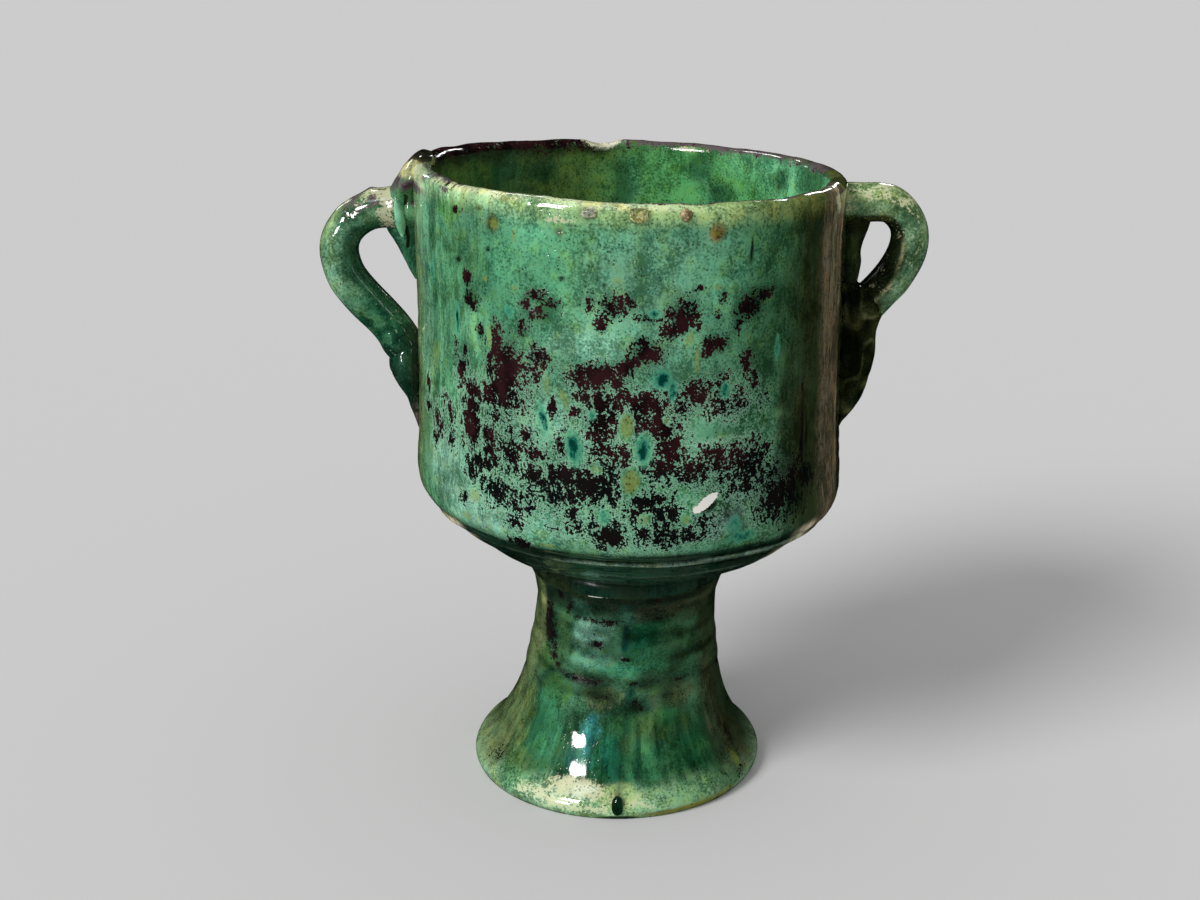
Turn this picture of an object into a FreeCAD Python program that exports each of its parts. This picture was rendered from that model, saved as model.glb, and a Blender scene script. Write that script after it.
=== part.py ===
import FreeCAD, Part
import math
import os

# Two-handled footed planter of thrown earthenware under a green glaze.
# Lengths are in millimetres and +Z is up. The pot faces -Y, with its handles at -X and +X.
# The origin is on the floor, under the middle of the width over both handles.
# A value whose name ends in share or shares is a share of the size named beside it.

V = FreeCAD.Vector

# Pedestal: a hollow cone, thrown by itself and open underneath
foot_radius = 72.9
foot_tread_radius = 71.2
foot_ring_width = 10.0
foot_edge_height = 9.0
waist_radius = 45.0
head_radius = 48.3
pedestal_height = 104.0
pedestal_wall = 10.0
stem_lean = 5.7

# Neck collar: the ring of clay that lutes the bowl to the pedestal
collar_height = 7.0
collar_swell = 1.6

# Bowl: a straight-walled pot on a bevelled underside
bowl_height = 189.0
wall_radius = 100.4
wall_thickness = 10.0
belly_swell = 2.5
base_radius = 49.5
bevel_height = 46.0
belly_taper_height = 75.0
floor_thickness = 14.0
floor_round = 44.0
lip_height = 4.2
rim_drop = 3.4
rim_chip_width = 20.0
rim_chip_depth = 4.0
rim_chip_turn = 98.0

# Left handle: a pulled coil, its upper end welded over the rim
left_reach = 45.3
left_thickness = 19.0
left_width = 21.0
left_arm_depth = 19.0
left_drop = 74.0
left_turn = 180.0
left_wad_height = 59.5
left_wad_rise = 7.2
left_wad_width = 34.0
left_tail_height = 44.0
left_tail_rise = 10.0
left_tail_width = 25.0

# Right handle: a shorter coil with its clay smeared down the wall
right_reach = 40.3
right_thickness = 18.5
right_width = 21.0
right_arm_depth = 17.2
right_drop = 60.0
right_turn = 1.5
right_root_height = 48.0
right_root_rise = 11.0
right_root_width = 26.0
right_tail_height = 76.0
right_tail_width = 31.0

# Stilt scars: lumps of glaze left on the rim by the props of the kiln
scar_radius = 3.4
scar_depth = 4.3
scar_sink_share = 0.25
scar_turns = (259.4, 270.9, 282.4)

# Glaze bead: the run of glaze that froze at the front of the foot
bead_width = 6.4
bead_height = 11.0
bead_lift = 7.0
bead_turn = 270.0

# Clearance by which a cutting solid runs past what it cuts
overrun = 12.0

# Counts of oval sections along a coil and of points round each oval
coil_section_count = 15
oval_point_count = 8

# Flare of the pedestal: share of the way out from the waist to the foot, share of its height
flare_shares = ((0.925, 0.0865), (0.703, 0.144), (0.53, 0.212), (0.38, 0.288),
                (0.244, 0.385), (0.143, 0.5), (0.075, 0.615), (0.02, 0.74), (0.0, 0.846))
head_flare_share = 0.45
head_flare_height_share = 0.942

# Underside of the bowl: share of the way out from the base to the belly, share of bevel_height.
# Above it, share of the belly's swell, share of belly_taper_height
bevel_shares = ((0.0, 0.0), (0.197, 0.093), (0.384, 0.213), (0.609, 0.39),
                (0.796, 0.572), (0.927, 0.728), (0.989, 0.87), (1.0, 1.0))
taper_shares = ((0.64, 0.19), (0.24, 0.57), (0.0, 1.0))

# Centre lines of the handles: share of the way out, share of the drop, share of the thickness
left_line_shares = ((-0.25, 0.0, 1.1), (0.056, 0.0, 1.08), (0.307, 0.0, 1.04), (0.545, 0.015, 1.0),
                    (0.768, 0.07, 0.98), (0.93, 0.155, 0.98), (1.0, 0.27, 1.0), (0.978, 0.36, 1.0),
                    (0.9, 0.455, 1.0), (0.763, 0.548, 1.0), (0.595, 0.64, 1.0), (0.413, 0.735, 1.0),
                    (0.265, 0.83, 1.0), (0.162, 0.92, 1.0), (0.09, 1.0, 1.0))
right_line_shares = ((-0.28, 0.0, 1.05), (0.1, 0.0, 1.05), (0.49, 0.003, 1.0), (0.683, 0.02, 1.0),
                     (0.86, 0.092, 0.98), (0.973, 0.192, 0.98), (1.0, 0.308, 1.0), (0.95, 0.425, 1.0),
                     (0.776, 0.59, 1.0), (0.612, 0.69, 1.0), (0.444, 0.778, 1.04), (0.264, 0.867, 1.08),
                     (0.087, 0.95, 1.1), (-0.09, 1.033, 1.1))

# Welds: share of the height, shares of the wall thickness inwards and of the reach outwards,
# share of the width
left_wad_shares = ((0.0, 0.3, 0.03, 0.34), (0.14, 0.3, 0.12, 0.52), (0.26, 0.4, 0.2, 0.65),
                   (0.38, 0.4, 0.29, 0.72), (0.55, 0.4, 0.33, 0.8), (0.71, 0.5, 0.25, 0.9),
                   (0.83, 0.9, 0.14, 1.0), (0.93, 1.12, 0.05, 0.86), (0.98, 0.98, -0.02, 0.56),
                   (1.0, 0.7, -0.07, 0.28))
left_tail_shares = ((0.0, 0.3, -0.014, 0.24), (0.12, 0.3, 0.025, 0.4), (0.24, 0.3, 0.069, 0.56),
                    (0.41, 0.3, 0.125, 0.76), (0.58, 0.3, 0.226, 0.9), (0.75, 0.3, 0.289, 1.0),
                    (0.9, 0.3, 0.262, 0.96), (1.0, 0.3, 0.154, 0.8))
right_root_shares = ((0.0, 0.3, 0.19, 0.8), (0.19, 0.3, 0.21, 0.84), (0.36, 0.3, 0.235, 0.88),
                     (0.5, 0.3, 0.285, 0.92), (0.65, 0.3, 0.33, 1.0), (0.8, 0.3, 0.34, 1.0),
                     (0.92, 0.3, 0.27, 0.9), (1.0, 0.3, 0.12, 0.7))
right_tail_shares = ((0.0, 0.3, -0.022, 0.2), (0.07, 0.3, 0.029, 0.34), (0.17, 0.3, 0.16, 0.6),
                     (0.27, 0.3, 0.277, 0.8), (0.37, 0.3, 0.345, 0.9), (0.49, 0.3, 0.389, 1.0),
                     (0.6, 0.3, 0.412, 1.0), (0.72, 0.3, 0.417, 0.95), (0.85, 0.3, 0.32, 0.88),
                     (1.0, 0.3, 0.19, 0.8))

# Places that follow from the sizes
bowl_x = (left_reach - right_reach) / 2
foot_x = bowl_x - stem_lean
bowl_z = pedestal_height + collar_height
rim_z = bowl_z + bowl_height
inner_radius = wall_radius - wall_thickness
bore_radius = head_radius - pedestal_wall


def spline(points):
    """A smooth edge through the points."""
    curve = Part.BSplineCurve()
    curve.interpolate(points)
    return curve.toShape()


def arc(start, middle, end):
    """The round edge through three points."""
    return Part.Arc(start, middle, end).toShape()


def turned(edges):
    """The solid that a closed outline in the XZ plane sweeps round the Z axis."""
    outline = Part.Wire(Part.__sortEdges__(edges))
    return Part.Face(outline).revolve(V(0, 0, 0), V(0, 0, 1), 360)


def sheared(shape, row, column, ratio):
    """The shape with the coordinate of one row moved by a ratio of another coordinate."""
    matrix = FreeCAD.Matrix()
    setattr(matrix, "A%d%d" % (row, column), ratio)
    return shape.transformGeometry(matrix)


def stretched(shape, x_scale, y_scale, z_scale):
    """The shape scaled by its own factor along each axis."""
    matrix = FreeCAD.Matrix()
    matrix.A11 = x_scale
    matrix.A22 = y_scale
    matrix.A33 = z_scale
    return shape.transformGeometry(matrix)


def placed(shape, x, y, z):
    """The shape moved to its place."""
    moved = shape.copy()
    moved.translate(V(x, y, z))
    return moved


def flare_points(inset):
    """Points up the pedestal's side, set in by a wall, from above the foot's edge to the head."""
    points = []
    for out_share, up_share in flare_shares:
        radius = waist_radius + out_share * (foot_radius - waist_radius)
        points.append(V(radius - inset, 0, up_share * pedestal_height))
    flare = waist_radius + head_flare_share * (head_radius - waist_radius)
    points.append(V(flare - inset, 0, head_flare_height_share * pedestal_height))
    points.append(V(head_radius - inset, 0, pedestal_height))
    return points


def make_pedestal():
    """The thrown cone, leaning towards the bowl, cut flat where it treads on the floor."""
    outside = flare_points(0)
    inside = flare_points(pedestal_wall)
    tread = V(foot_tread_radius, 0, 0)
    edge = V(foot_radius, 0, foot_edge_height / 2)
    sunk_tread = V(foot_tread_radius, 0, -overrun)
    sunk_bore = V(foot_tread_radius - foot_ring_width, 0, -overrun)
    bore = V(foot_tread_radius - foot_ring_width, 0, 0)
    solid = turned([
        arc(tread, edge, outside[0]),
        spline(outside),
        Part.makeLine(outside[-1], inside[-1]),
        spline([bore] + inside),
        Part.makeLine(bore, sunk_bore),
        Part.makeLine(sunk_bore, sunk_tread),
        Part.makeLine(sunk_tread, tread),
    ])
    solid = sheared(solid, 1, 3, stem_lean / pedestal_height)
    span = foot_radius + stem_lean + overrun
    floor = Part.makeBox(2 * span, 2 * span, 2 * overrun, V(-span, -span, -2 * overrun))
    return placed(solid.cut(floor), foot_x, 0, 0)


def bowl_side():
    """Edges up the outside of the bowl from its base to the foot of the lip."""
    points = []
    for out_share, up_share in bevel_shares:
        radius = base_radius + out_share * (wall_radius + belly_swell - base_radius)
        points.append(V(radius, 0, up_share * bevel_height))
    for out_share, up_share in taper_shares:
        radius = wall_radius + out_share * belly_swell
        points.append(V(radius, 0, bevel_height + up_share * belly_taper_height))
    top = V(wall_radius, 0, bowl_height - lip_height)
    return [spline(points), Part.makeLine(points[-1], top)]


def tilted(shape):
    """A solid made round the bowl's axis, let down to the right and set on the collar."""
    return placed(sheared(shape, 3, 1, -rim_drop / wall_radius), bowl_x, 0, bowl_z)


def make_bowl():
    """The thrown pot with its rounded lip and the old chip in its far rim."""
    lip_outside = V(wall_radius, 0, bowl_height - lip_height)
    lip_top = V(wall_radius - wall_thickness / 2, 0, bowl_height)
    lip_inside = V(inner_radius, 0, bowl_height - lip_height)
    round_top = V(inner_radius, 0, floor_thickness + floor_round)
    round_centre = V(inner_radius - floor_round, 0, floor_thickness + floor_round)
    slant = floor_round / math.sqrt(2)
    round_foot = V(inner_radius - floor_round, 0, floor_thickness)
    base = V(base_radius, 0, 0)
    centre = V(0, 0, 0)
    floor = V(0, 0, floor_thickness)
    solid = turned(bowl_side() + [
        arc(lip_outside, lip_top, lip_inside),
        Part.makeLine(lip_inside, round_top),
        arc(round_top, round_centre + V(slant, 0, -slant), round_foot),
        Part.makeLine(round_foot, floor),
        Part.makeLine(floor, centre),
        Part.makeLine(centre, base),
    ])
    chip_radius = (rim_chip_width ** 2 / 4 + rim_chip_depth ** 2) / (2 * rim_chip_depth)
    chip = Part.makeSphere(chip_radius)
    chip = placed(chip, wall_radius - wall_thickness / 2, 0, bowl_height - rim_chip_depth + chip_radius)
    chip.rotate(V(0, 0, 0), V(0, 0, 1), rim_chip_turn)
    return tilted(solid.cut(chip))


def make_bowl_core():
    """The bowl as if filled with clay, which cuts the end of whatever is pressed on its wall."""
    top = V(wall_radius, 0, bowl_height - lip_height)
    over = V(wall_radius, 0, bowl_height + overrun)
    axis_top = V(0, 0, bowl_height + overrun)
    centre = V(0, 0, 0)
    base = V(base_radius, 0, 0)
    return tilted(turned(bowl_side() + [
        Part.makeLine(top, over),
        Part.makeLine(over, axis_top),
        Part.makeLine(axis_top, centre),
        Part.makeLine(centre, base),
    ]))


def make_collar():
    """The luting ring on the pedestal's head, its top cut to the slope of the tilted bowl."""
    foot = V(head_radius, 0, 0)
    swell = V(head_radius + collar_swell, 0, collar_height / 2)
    top = V(base_radius, 0, collar_height)
    over = V(base_radius, 0, collar_height + rim_drop)
    over_bore = V(bore_radius, 0, collar_height + rim_drop)
    bore = V(bore_radius, 0, 0)
    ring = turned([
        arc(foot, swell, top),
        Part.makeLine(top, over),
        Part.makeLine(over, over_bore),
        Part.makeLine(over_bore, bore),
        Part.makeLine(bore, foot),
    ])
    span = base_radius + overrun
    slope = Part.makeBox(2 * span, 2 * span, overrun, V(-span, -span, 0))
    slope.rotate(V(0, 0, 0), V(0, 1, 0), math.degrees(math.atan(rim_drop / wall_radius)))
    slope = placed(slope, 0, 0, collar_height)
    return placed(ring.cut(slope), bowl_x, 0, pedestal_height)


def oval(centre, reach, side):
    """A closed smooth outline round a centre, with its two half axes given as vectors."""
    points = []
    for number in range(oval_point_count):
        angle = 2 * math.pi * number / oval_point_count
        points.append(centre + reach * math.cos(angle) + side * math.sin(angle))
    curve = Part.BSplineCurve()
    curve.interpolate(Points=points, PeriodicFlag=True)
    return Part.Wire([curve.toShape()])


def on_wall(shape, turn):
    """A piece made on the +X side of the bowl's axis, turned to its own side."""
    turned_shape = shape.copy()
    turned_shape.rotate(V(0, 0, 0), V(0, 0, 1), turn)
    return placed(turned_shape, bowl_x, 0, 0)


def make_coil(line_shares, reach, drop, arm_depth, thickness, width, turn):
    """A pulled coil: evenly spaced oval sections along a line that leaves the wall and returns."""
    line_reach = reach - thickness / 2
    knots = []
    for out_share, down_share, thick_share in line_shares:
        out = wall_radius + out_share * line_reach
        knots.append(V(out, thick_share * thickness, rim_z - arm_depth - down_share * drop))
    line = Part.BSplineCurve()
    line.interpolate(knots)
    # Each point of the line holds the coil's thickness there in its y
    marks = line.discretize(coil_section_count)
    before = marks[:1] + marks[:-1]
    after = marks[1:] + marks[-1:]
    sections = []
    for mark, last, following in zip(marks, before, after):
        ahead = following - last
        normal = V(-ahead.z, 0, ahead.x).normalize()
        centre = V(mark.x, 0, mark.z)
        sections.append(oval(centre, normal * mark.y / 2, V(0, width / 2, 0)))
    return on_wall(Part.makeLoft(sections, True, False), turn)


def wall_radius_at(z):
    """The bowl's outer radius at a height above its belly."""
    up = (z - bowl_z - bevel_height) / belly_taper_height
    lower_out_share, lower_up_share = bevel_shares[-1][0], 0
    for out_share, up_share in taper_shares:
        if up < up_share:
            way = max(0, up - lower_up_share) / (up_share - lower_up_share)
            swell_share = lower_out_share + way * (out_share - lower_out_share)
            return wall_radius + swell_share * belly_swell
        lower_out_share, lower_up_share = out_share, up_share
    return wall_radius


def make_weld(weld_shares, foot_z, height, reach, width, turn):
    """Smeared clay: flat-lying oval sections up the wall, sunk a little into it."""
    sections = []
    for up_share, in_share, out_share, wide_share in weld_shares:
        z = foot_z + up_share * height
        inside = wall_radius_at(z) - in_share * wall_thickness
        outside = wall_radius_at(z) + out_share * reach
        centre = V((inside + outside) / 2, 0, z)
        half = V((outside - inside) / 2, 0, 0)
        sections.append(oval(centre, half, V(0, wide_share * width / 2, 0)))
    return on_wall(Part.makeLoft(sections, True, False), turn)


def make_scars(bowl):
    """Three lumps of glaze along the front of the rim, each its own solid."""
    lumps = []
    for turn in scar_turns:
        middle = wall_radius - scar_sink_share * scar_radius
        ball = placed(Part.makeSphere(scar_radius), middle, 0, rim_z - scar_depth)
        lumps.append(on_wall(ball, turn).cut(bowl))
    return Part.makeCompound([lump.Solids[0] for lump in lumps])


def make_bead(pedestal):
    """A tear of glaze on the rounded edge at the front of the foot."""
    ball = stretched(Part.makeSphere(bead_width / 2), 1, 1, bead_height / bead_width)
    ball = placed(ball, foot_tread_radius, 0, bead_lift)
    ball.rotate(V(0, 0, 0), V(0, 0, 1), bead_turn)
    return placed(ball, foot_x, 0, 0).cut(pedestal)


def largest(shape):
    """The largest solid of a cut shape, without the crumbs that the cut left behind."""
    return max(shape.Solids, key=lambda solid: solid.Volume)


bowl = largest(make_bowl())
core = make_bowl_core()
pedestal = largest(make_pedestal())
collar = largest(make_collar())

left_coil = make_coil(left_line_shares, left_reach, left_drop, left_arm_depth,
                      left_thickness, left_width, left_turn)
right_coil = make_coil(right_line_shares, right_reach, right_drop, right_arm_depth,
                       right_thickness, right_width, right_turn)
left_handle = largest(left_coil.cut(core))
right_handle = largest(right_coil.cut(core))

left_tail_foot = rim_z - left_arm_depth - left_drop - left_tail_height + left_tail_rise
right_root_foot = rim_z - right_arm_depth - right_root_height + right_root_rise
left_wad = make_weld(left_wad_shares, rim_z + left_wad_rise - left_wad_height, left_wad_height,
                     left_reach, left_wad_width, left_turn)
left_tail = make_weld(left_tail_shares, left_tail_foot, left_tail_height,
                      left_reach, left_tail_width, left_turn)
right_root = make_weld(right_root_shares, right_root_foot, right_root_height,
                       right_reach, right_root_width, right_turn)
right_tail = make_weld(right_tail_shares, right_root_foot - right_tail_height, right_tail_height,
                       right_reach, right_tail_width, right_turn)

pieces = {
    "bowl": bowl,
    "pedestal": pedestal,
    "neck_collar": collar,
    "left_handle": left_handle,
    "right_handle": right_handle,
    "left_rim_wad": largest(left_wad.cut([bowl, left_coil])),
    "left_lower_weld": largest(left_tail.cut([core, left_coil])),
    "right_upper_weld": largest(right_root.cut([core, right_coil])),
    "right_lower_weld": largest(right_tail.cut([core, right_coil])),
    "rim_stilt_scars": make_scars(bowl),
    "foot_glaze_bead": largest(make_bead(pedestal)),
}

os.makedirs("parts", exist_ok=True)
for name, piece in pieces.items():
    piece.exportStep("parts/" + name + ".step")
    print(name, "valid", piece.isValid(), "solids", len(piece.Solids), "volume", round(piece.Volume))
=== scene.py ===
import math

import bpy
import numpy as np
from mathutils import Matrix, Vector


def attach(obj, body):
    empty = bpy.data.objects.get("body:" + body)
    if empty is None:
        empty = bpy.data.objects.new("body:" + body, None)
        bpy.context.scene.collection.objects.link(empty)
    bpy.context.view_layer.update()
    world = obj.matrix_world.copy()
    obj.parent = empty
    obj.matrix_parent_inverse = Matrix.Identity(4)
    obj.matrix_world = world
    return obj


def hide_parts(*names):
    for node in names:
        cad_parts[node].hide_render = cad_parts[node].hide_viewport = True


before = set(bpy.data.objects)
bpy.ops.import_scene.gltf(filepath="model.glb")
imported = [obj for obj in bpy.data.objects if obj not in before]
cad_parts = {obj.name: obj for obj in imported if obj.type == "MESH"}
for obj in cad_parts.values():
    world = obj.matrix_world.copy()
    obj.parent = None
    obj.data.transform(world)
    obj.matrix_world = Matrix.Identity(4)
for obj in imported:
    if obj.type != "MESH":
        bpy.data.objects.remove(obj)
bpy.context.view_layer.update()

# The pot is worked out in millimetres in the frame's axes, and each mesh is scaled to metres.
# A turn is an angle round the bowl in degrees: 0 is the front (-Y), 90 the right (+X).
MM = 0.001

# Pedestal
FOOT_RADIUS = 72.9
TREAD_RADIUS = 71.2
RING_WIDTH = 10.0
FOOT_EDGE_HEIGHT = 9.0
WAIST_RADIUS = 45.0
HEAD_RADIUS = 48.3
PEDESTAL_HEIGHT = 104.0
PEDESTAL_WALL = 10.0
STEM_LEAN = 5.7
# The radius at which the noise in the glaze is wrapped round the pedestal and the collar
WRAP_RADIUS = 62
FLARE_SHARES = (
    (0.925, 0.0865), (0.703, 0.144), (0.53, 0.212), (0.38, 0.288), (0.244, 0.385), (0.143, 0.5),
    (0.075, 0.615), (0.02, 0.74), (0.0, 0.846), (0.053, 0.942))

# Neck collar
COLLAR_HEIGHT = 7.0
COLLAR_SWELL = 1.6
COLLAR_OVERLAP = 0.5

# Bowl
BOWL_HEIGHT = 189.0
WALL_RADIUS = 100.4
WALL_THICKNESS = 10.0
BELLY_SWELL = 2.5
BASE_RADIUS = 49.5
BEVEL_HEIGHT = 46.0
TAPER_HEIGHT = 75.0
FLOOR_THICKNESS = 14.0
FLOOR_ROUND = 44.0
LIP_HEIGHT = 4.2
RIM_DROP = 3.4
BEVEL_SHARES = (
    (0.0, 0.0), (0.197, 0.093), (0.384, 0.213), (0.609, 0.39), (0.796, 0.572), (0.927, 0.728),
    (0.989, 0.87), (1.0, 1.0))
TAPER_SHARES = ((0.64, 0.19), (0.24, 0.57), (0.0, 1.0))
CHIP_TURN = 188.0
CHIP_WIDTH = 20.0
CHIP_DEPTH = 4.0

# Handles
LEFT_REACH = 45.3
LEFT_THICKNESS = 19.0
LEFT_WIDTH = 21.0
LEFT_ARM_DEPTH = 19.0
LEFT_DROP = 74.0
RIGHT_REACH = 40.3
RIGHT_THICKNESS = 18.5
RIGHT_WIDTH = 21.0
RIGHT_ARM_DEPTH = 17.2
RIGHT_DROP = 60.0
LEFT_TURN = -90.0
RIGHT_TURN = 91.5
# A handle's line: how far out, how far down and how thick, as shares of reach, drop and thickness
LEFT_LINE_SHARES = (
    (-0.25, 0.0, 1.1), (0.056, 0.0, 1.08), (0.307, 0.0, 1.04), (0.545, 0.015, 1.0), (0.768, 0.07, 0.98),
    (0.93, 0.155, 0.98), (1.0, 0.27, 1.0), (0.978, 0.36, 1.0), (0.9, 0.455, 1.0), (0.763, 0.548, 1.0),
    (0.595, 0.64, 1.0), (0.413, 0.735, 1.0), (0.265, 0.83, 1.0), (0.162, 0.92, 1.0), (0.09, 1.0, 1.0))
RIGHT_LINE_SHARES = (
    (-0.28, 0.0, 1.05), (0.1, 0.0, 1.05), (0.49, 0.003, 1.0), (0.683, 0.02, 1.0), (0.86, 0.092, 0.98),
    (0.973, 0.192, 0.98), (1.0, 0.308, 1.0), (0.95, 0.425, 1.0), (0.776, 0.59, 1.0), (0.612, 0.69, 1.0),
    (0.444, 0.778, 1.04), (0.264, 0.867, 1.08), (0.087, 0.95, 1.1), (-0.09, 1.033, 1.1))

# Welds
WAD_HEIGHT = 59.5
WAD_RISE = 7.2
WAD_WIDTH = 34.0
LEFT_TAIL_FOOT = 173.0
LEFT_TAIL_HEIGHT = 44.0
LEFT_TAIL_WIDTH = 25.0
ROOT_FOOT = 245.8
ROOT_HEIGHT = 48.0
ROOT_WIDTH = 26.0
RIGHT_TAIL_HEIGHT = 76.0
RIGHT_TAIL_WIDTH = 31.0
# A weld: how far up, into the wall, out of it and wide, as shares of height, wall, reach and width
WAD_SHARES = (
    (0.0, 0.3, 0.03, 0.26), (0.14, 0.3, 0.12, 0.36), (0.26, 0.4, 0.2, 0.42), (0.38, 0.4, 0.29, 0.46),
    (0.55, 0.4, 0.33, 0.5), (0.71, 0.5, 0.25, 0.84), (0.83, 0.9, 0.15, 1.0), (0.93, 1.05, 0.06, 0.86),
    (0.98, 0.94, -0.01, 0.56), (1.0, 0.66, -0.06, 0.28))
LEFT_TAIL_SHARES = (
    (0.0, 0.3, 0.0, 0.24), (0.12, 0.3, 0.04, 0.4), (0.24, 0.3, 0.085, 0.56), (0.41, 0.3, 0.15, 0.76),
    (0.58, 0.3, 0.255, 0.9), (0.72, 0.3, 0.31, 1.0), (0.84, 0.3, 0.32, 0.96), (0.93, 0.3, 0.28, 0.86),
    (1.0, 0.3, 0.18, 0.7))
ROOT_SHARES = (
    (0.0, 0.3, 0.19, 0.66), (0.19, 0.3, 0.21, 0.7), (0.36, 0.3, 0.235, 0.7), (0.5, 0.3, 0.285, 0.7),
    (0.65, 0.3, 0.33, 0.7), (0.76, 0.3, 0.33, 0.66), (0.86, 0.3, 0.26, 0.6), (0.93, 0.3, 0.1, 0.5))
RIGHT_TAIL_SHARES = (
    (0.0, 0.3, -0.01, 0.2), (0.07, 0.3, 0.04, 0.34), (0.17, 0.3, 0.17, 0.6), (0.27, 0.3, 0.29, 0.8),
    (0.37, 0.3, 0.36, 0.9), (0.49, 0.3, 0.4, 1.0), (0.6, 0.3, 0.42, 1.0), (0.69, 0.3, 0.43, 0.98),
    (0.76, 0.3, 0.475, 0.94), (0.82, 0.3, 0.52, 0.9), (0.88, 0.3, 0.5, 0.84), (0.94, 0.3, 0.36, 0.8),
    (1.0, 0.3, 0.15, 0.7))

# Small pieces
FLAP_PLACE = (-104.2, -8.6, 280.0)
FLAP_RADII = (3.0, 3.4, 12.0)
SCAR_RADIUS = 3.4
SCAR_DEPTH = 4.3
BEAD_WIDTH = 6.4
BEAD_HEIGHT = 11.0
BEAD_LIFT = 7.0

# Places that follow from the sizes
BOWL_X = (LEFT_REACH - RIGHT_REACH) / 2
FOOT_X = BOWL_X - STEM_LEAN
BOWL_Z = PEDESTAL_HEIGHT + COLLAR_HEIGHT
RIM_Z = BOWL_Z + BOWL_HEIGHT
LIP_FOOT = BOWL_HEIGHT - LIP_HEIGHT
WAD_FOOT = RIM_Z + WAD_RISE - WAD_HEIGHT
RIGHT_TAIL_FOOT = ROOT_FOOT - RIGHT_TAIL_HEIGHT
RIM_SLOPE = RIM_DROP / WALL_RADIUS
LIP_MIDDLE = WALL_RADIUS - WALL_THICKNESS / 2
INNER_RADIUS = WALL_RADIUS - WALL_THICKNESS
BORE_RADIUS = HEAD_RADIUS - PEDESTAL_WALL
BELLY_RADIUS = WALL_RADIUS + BELLY_SWELL
STEM_RADIUS = (WAIST_RADIUS + FOOT_RADIUS) / 2

# The height of one throwing ring on the bowl
RING_PITCH = 8.5
# The rim's waves: turn, and how far the lip stands above its even height there
RIM_WAVES = (
    (-180, 0.0), (-150, -0.4), (-120, 0.6), (-90, 1.2), (-70, 0.4), (-50, -0.6), (-30, 0.3), (-10, 0.2),
    (15, -0.2), (35, 0.5), (42, -0.3), (50, 0.5), (70, 0.6), (90, 0.2), (120, 0.5), (150, -0.3), (180, 0.0))
# Lines turned into the bevel: height above the base, half height, how far they stand out
BEVEL_RELIEF = ((28.5, 1.0, 0.7), (31, 1.2, -0.5), (25, 1.5, -0.4), (12, 1.5, 0.4))
# Throwing ridges on the pedestal: height, how far they stand out, half height
STEM_RIDGES = (
    (97.0, 0.05, 2.5), (90.0, -0.3, 3.0), (73.0, -0.3, 3.5), (66.0, 0.25, 3.0), (55.5, 0.35, 3.0),
    (50.0, -0.3, 2.5))
# Swellings on the handles: share of the length, angle round the coil (0 outward, 90 front), half
# length as a share, half angle, height
LEFT_BUMPS = (
    (0.23, -10, 0.02, 40, 0.8), (0.225, -10, 0.012, 25, 0.5), (0.145, 60, 0.02, 90, 0.9),
    (0.11, 60, 0.012, 90, -1.2), (0.33, 20, 0.03, 30, 0.5), (0.31, 70, 0.02, 25, -0.6),
    (0.45, 150, 0.05, 30, -0.6), (0.83, 100, 0.02, 40, -0.8), (0.9, 30, 0.03, 50, 0.6))
RIGHT_BUMPS = (
    (0.22, 30, 0.03, 40, 0.6), (0.3, 60, 0.03, 40, -0.5), (0.74, 95, 0.03, 30, -1.0),
    (0.66, 40, 0.04, 40, 0.5), (0.85, 60, 0.03, 50, 0.7))

# Marks in the glaze are rows of strength, turn, height, half width and half height, and tilt where
# there is one. On the lip the length from its top, where down the outside is negative, takes the
# height's place.

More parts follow.
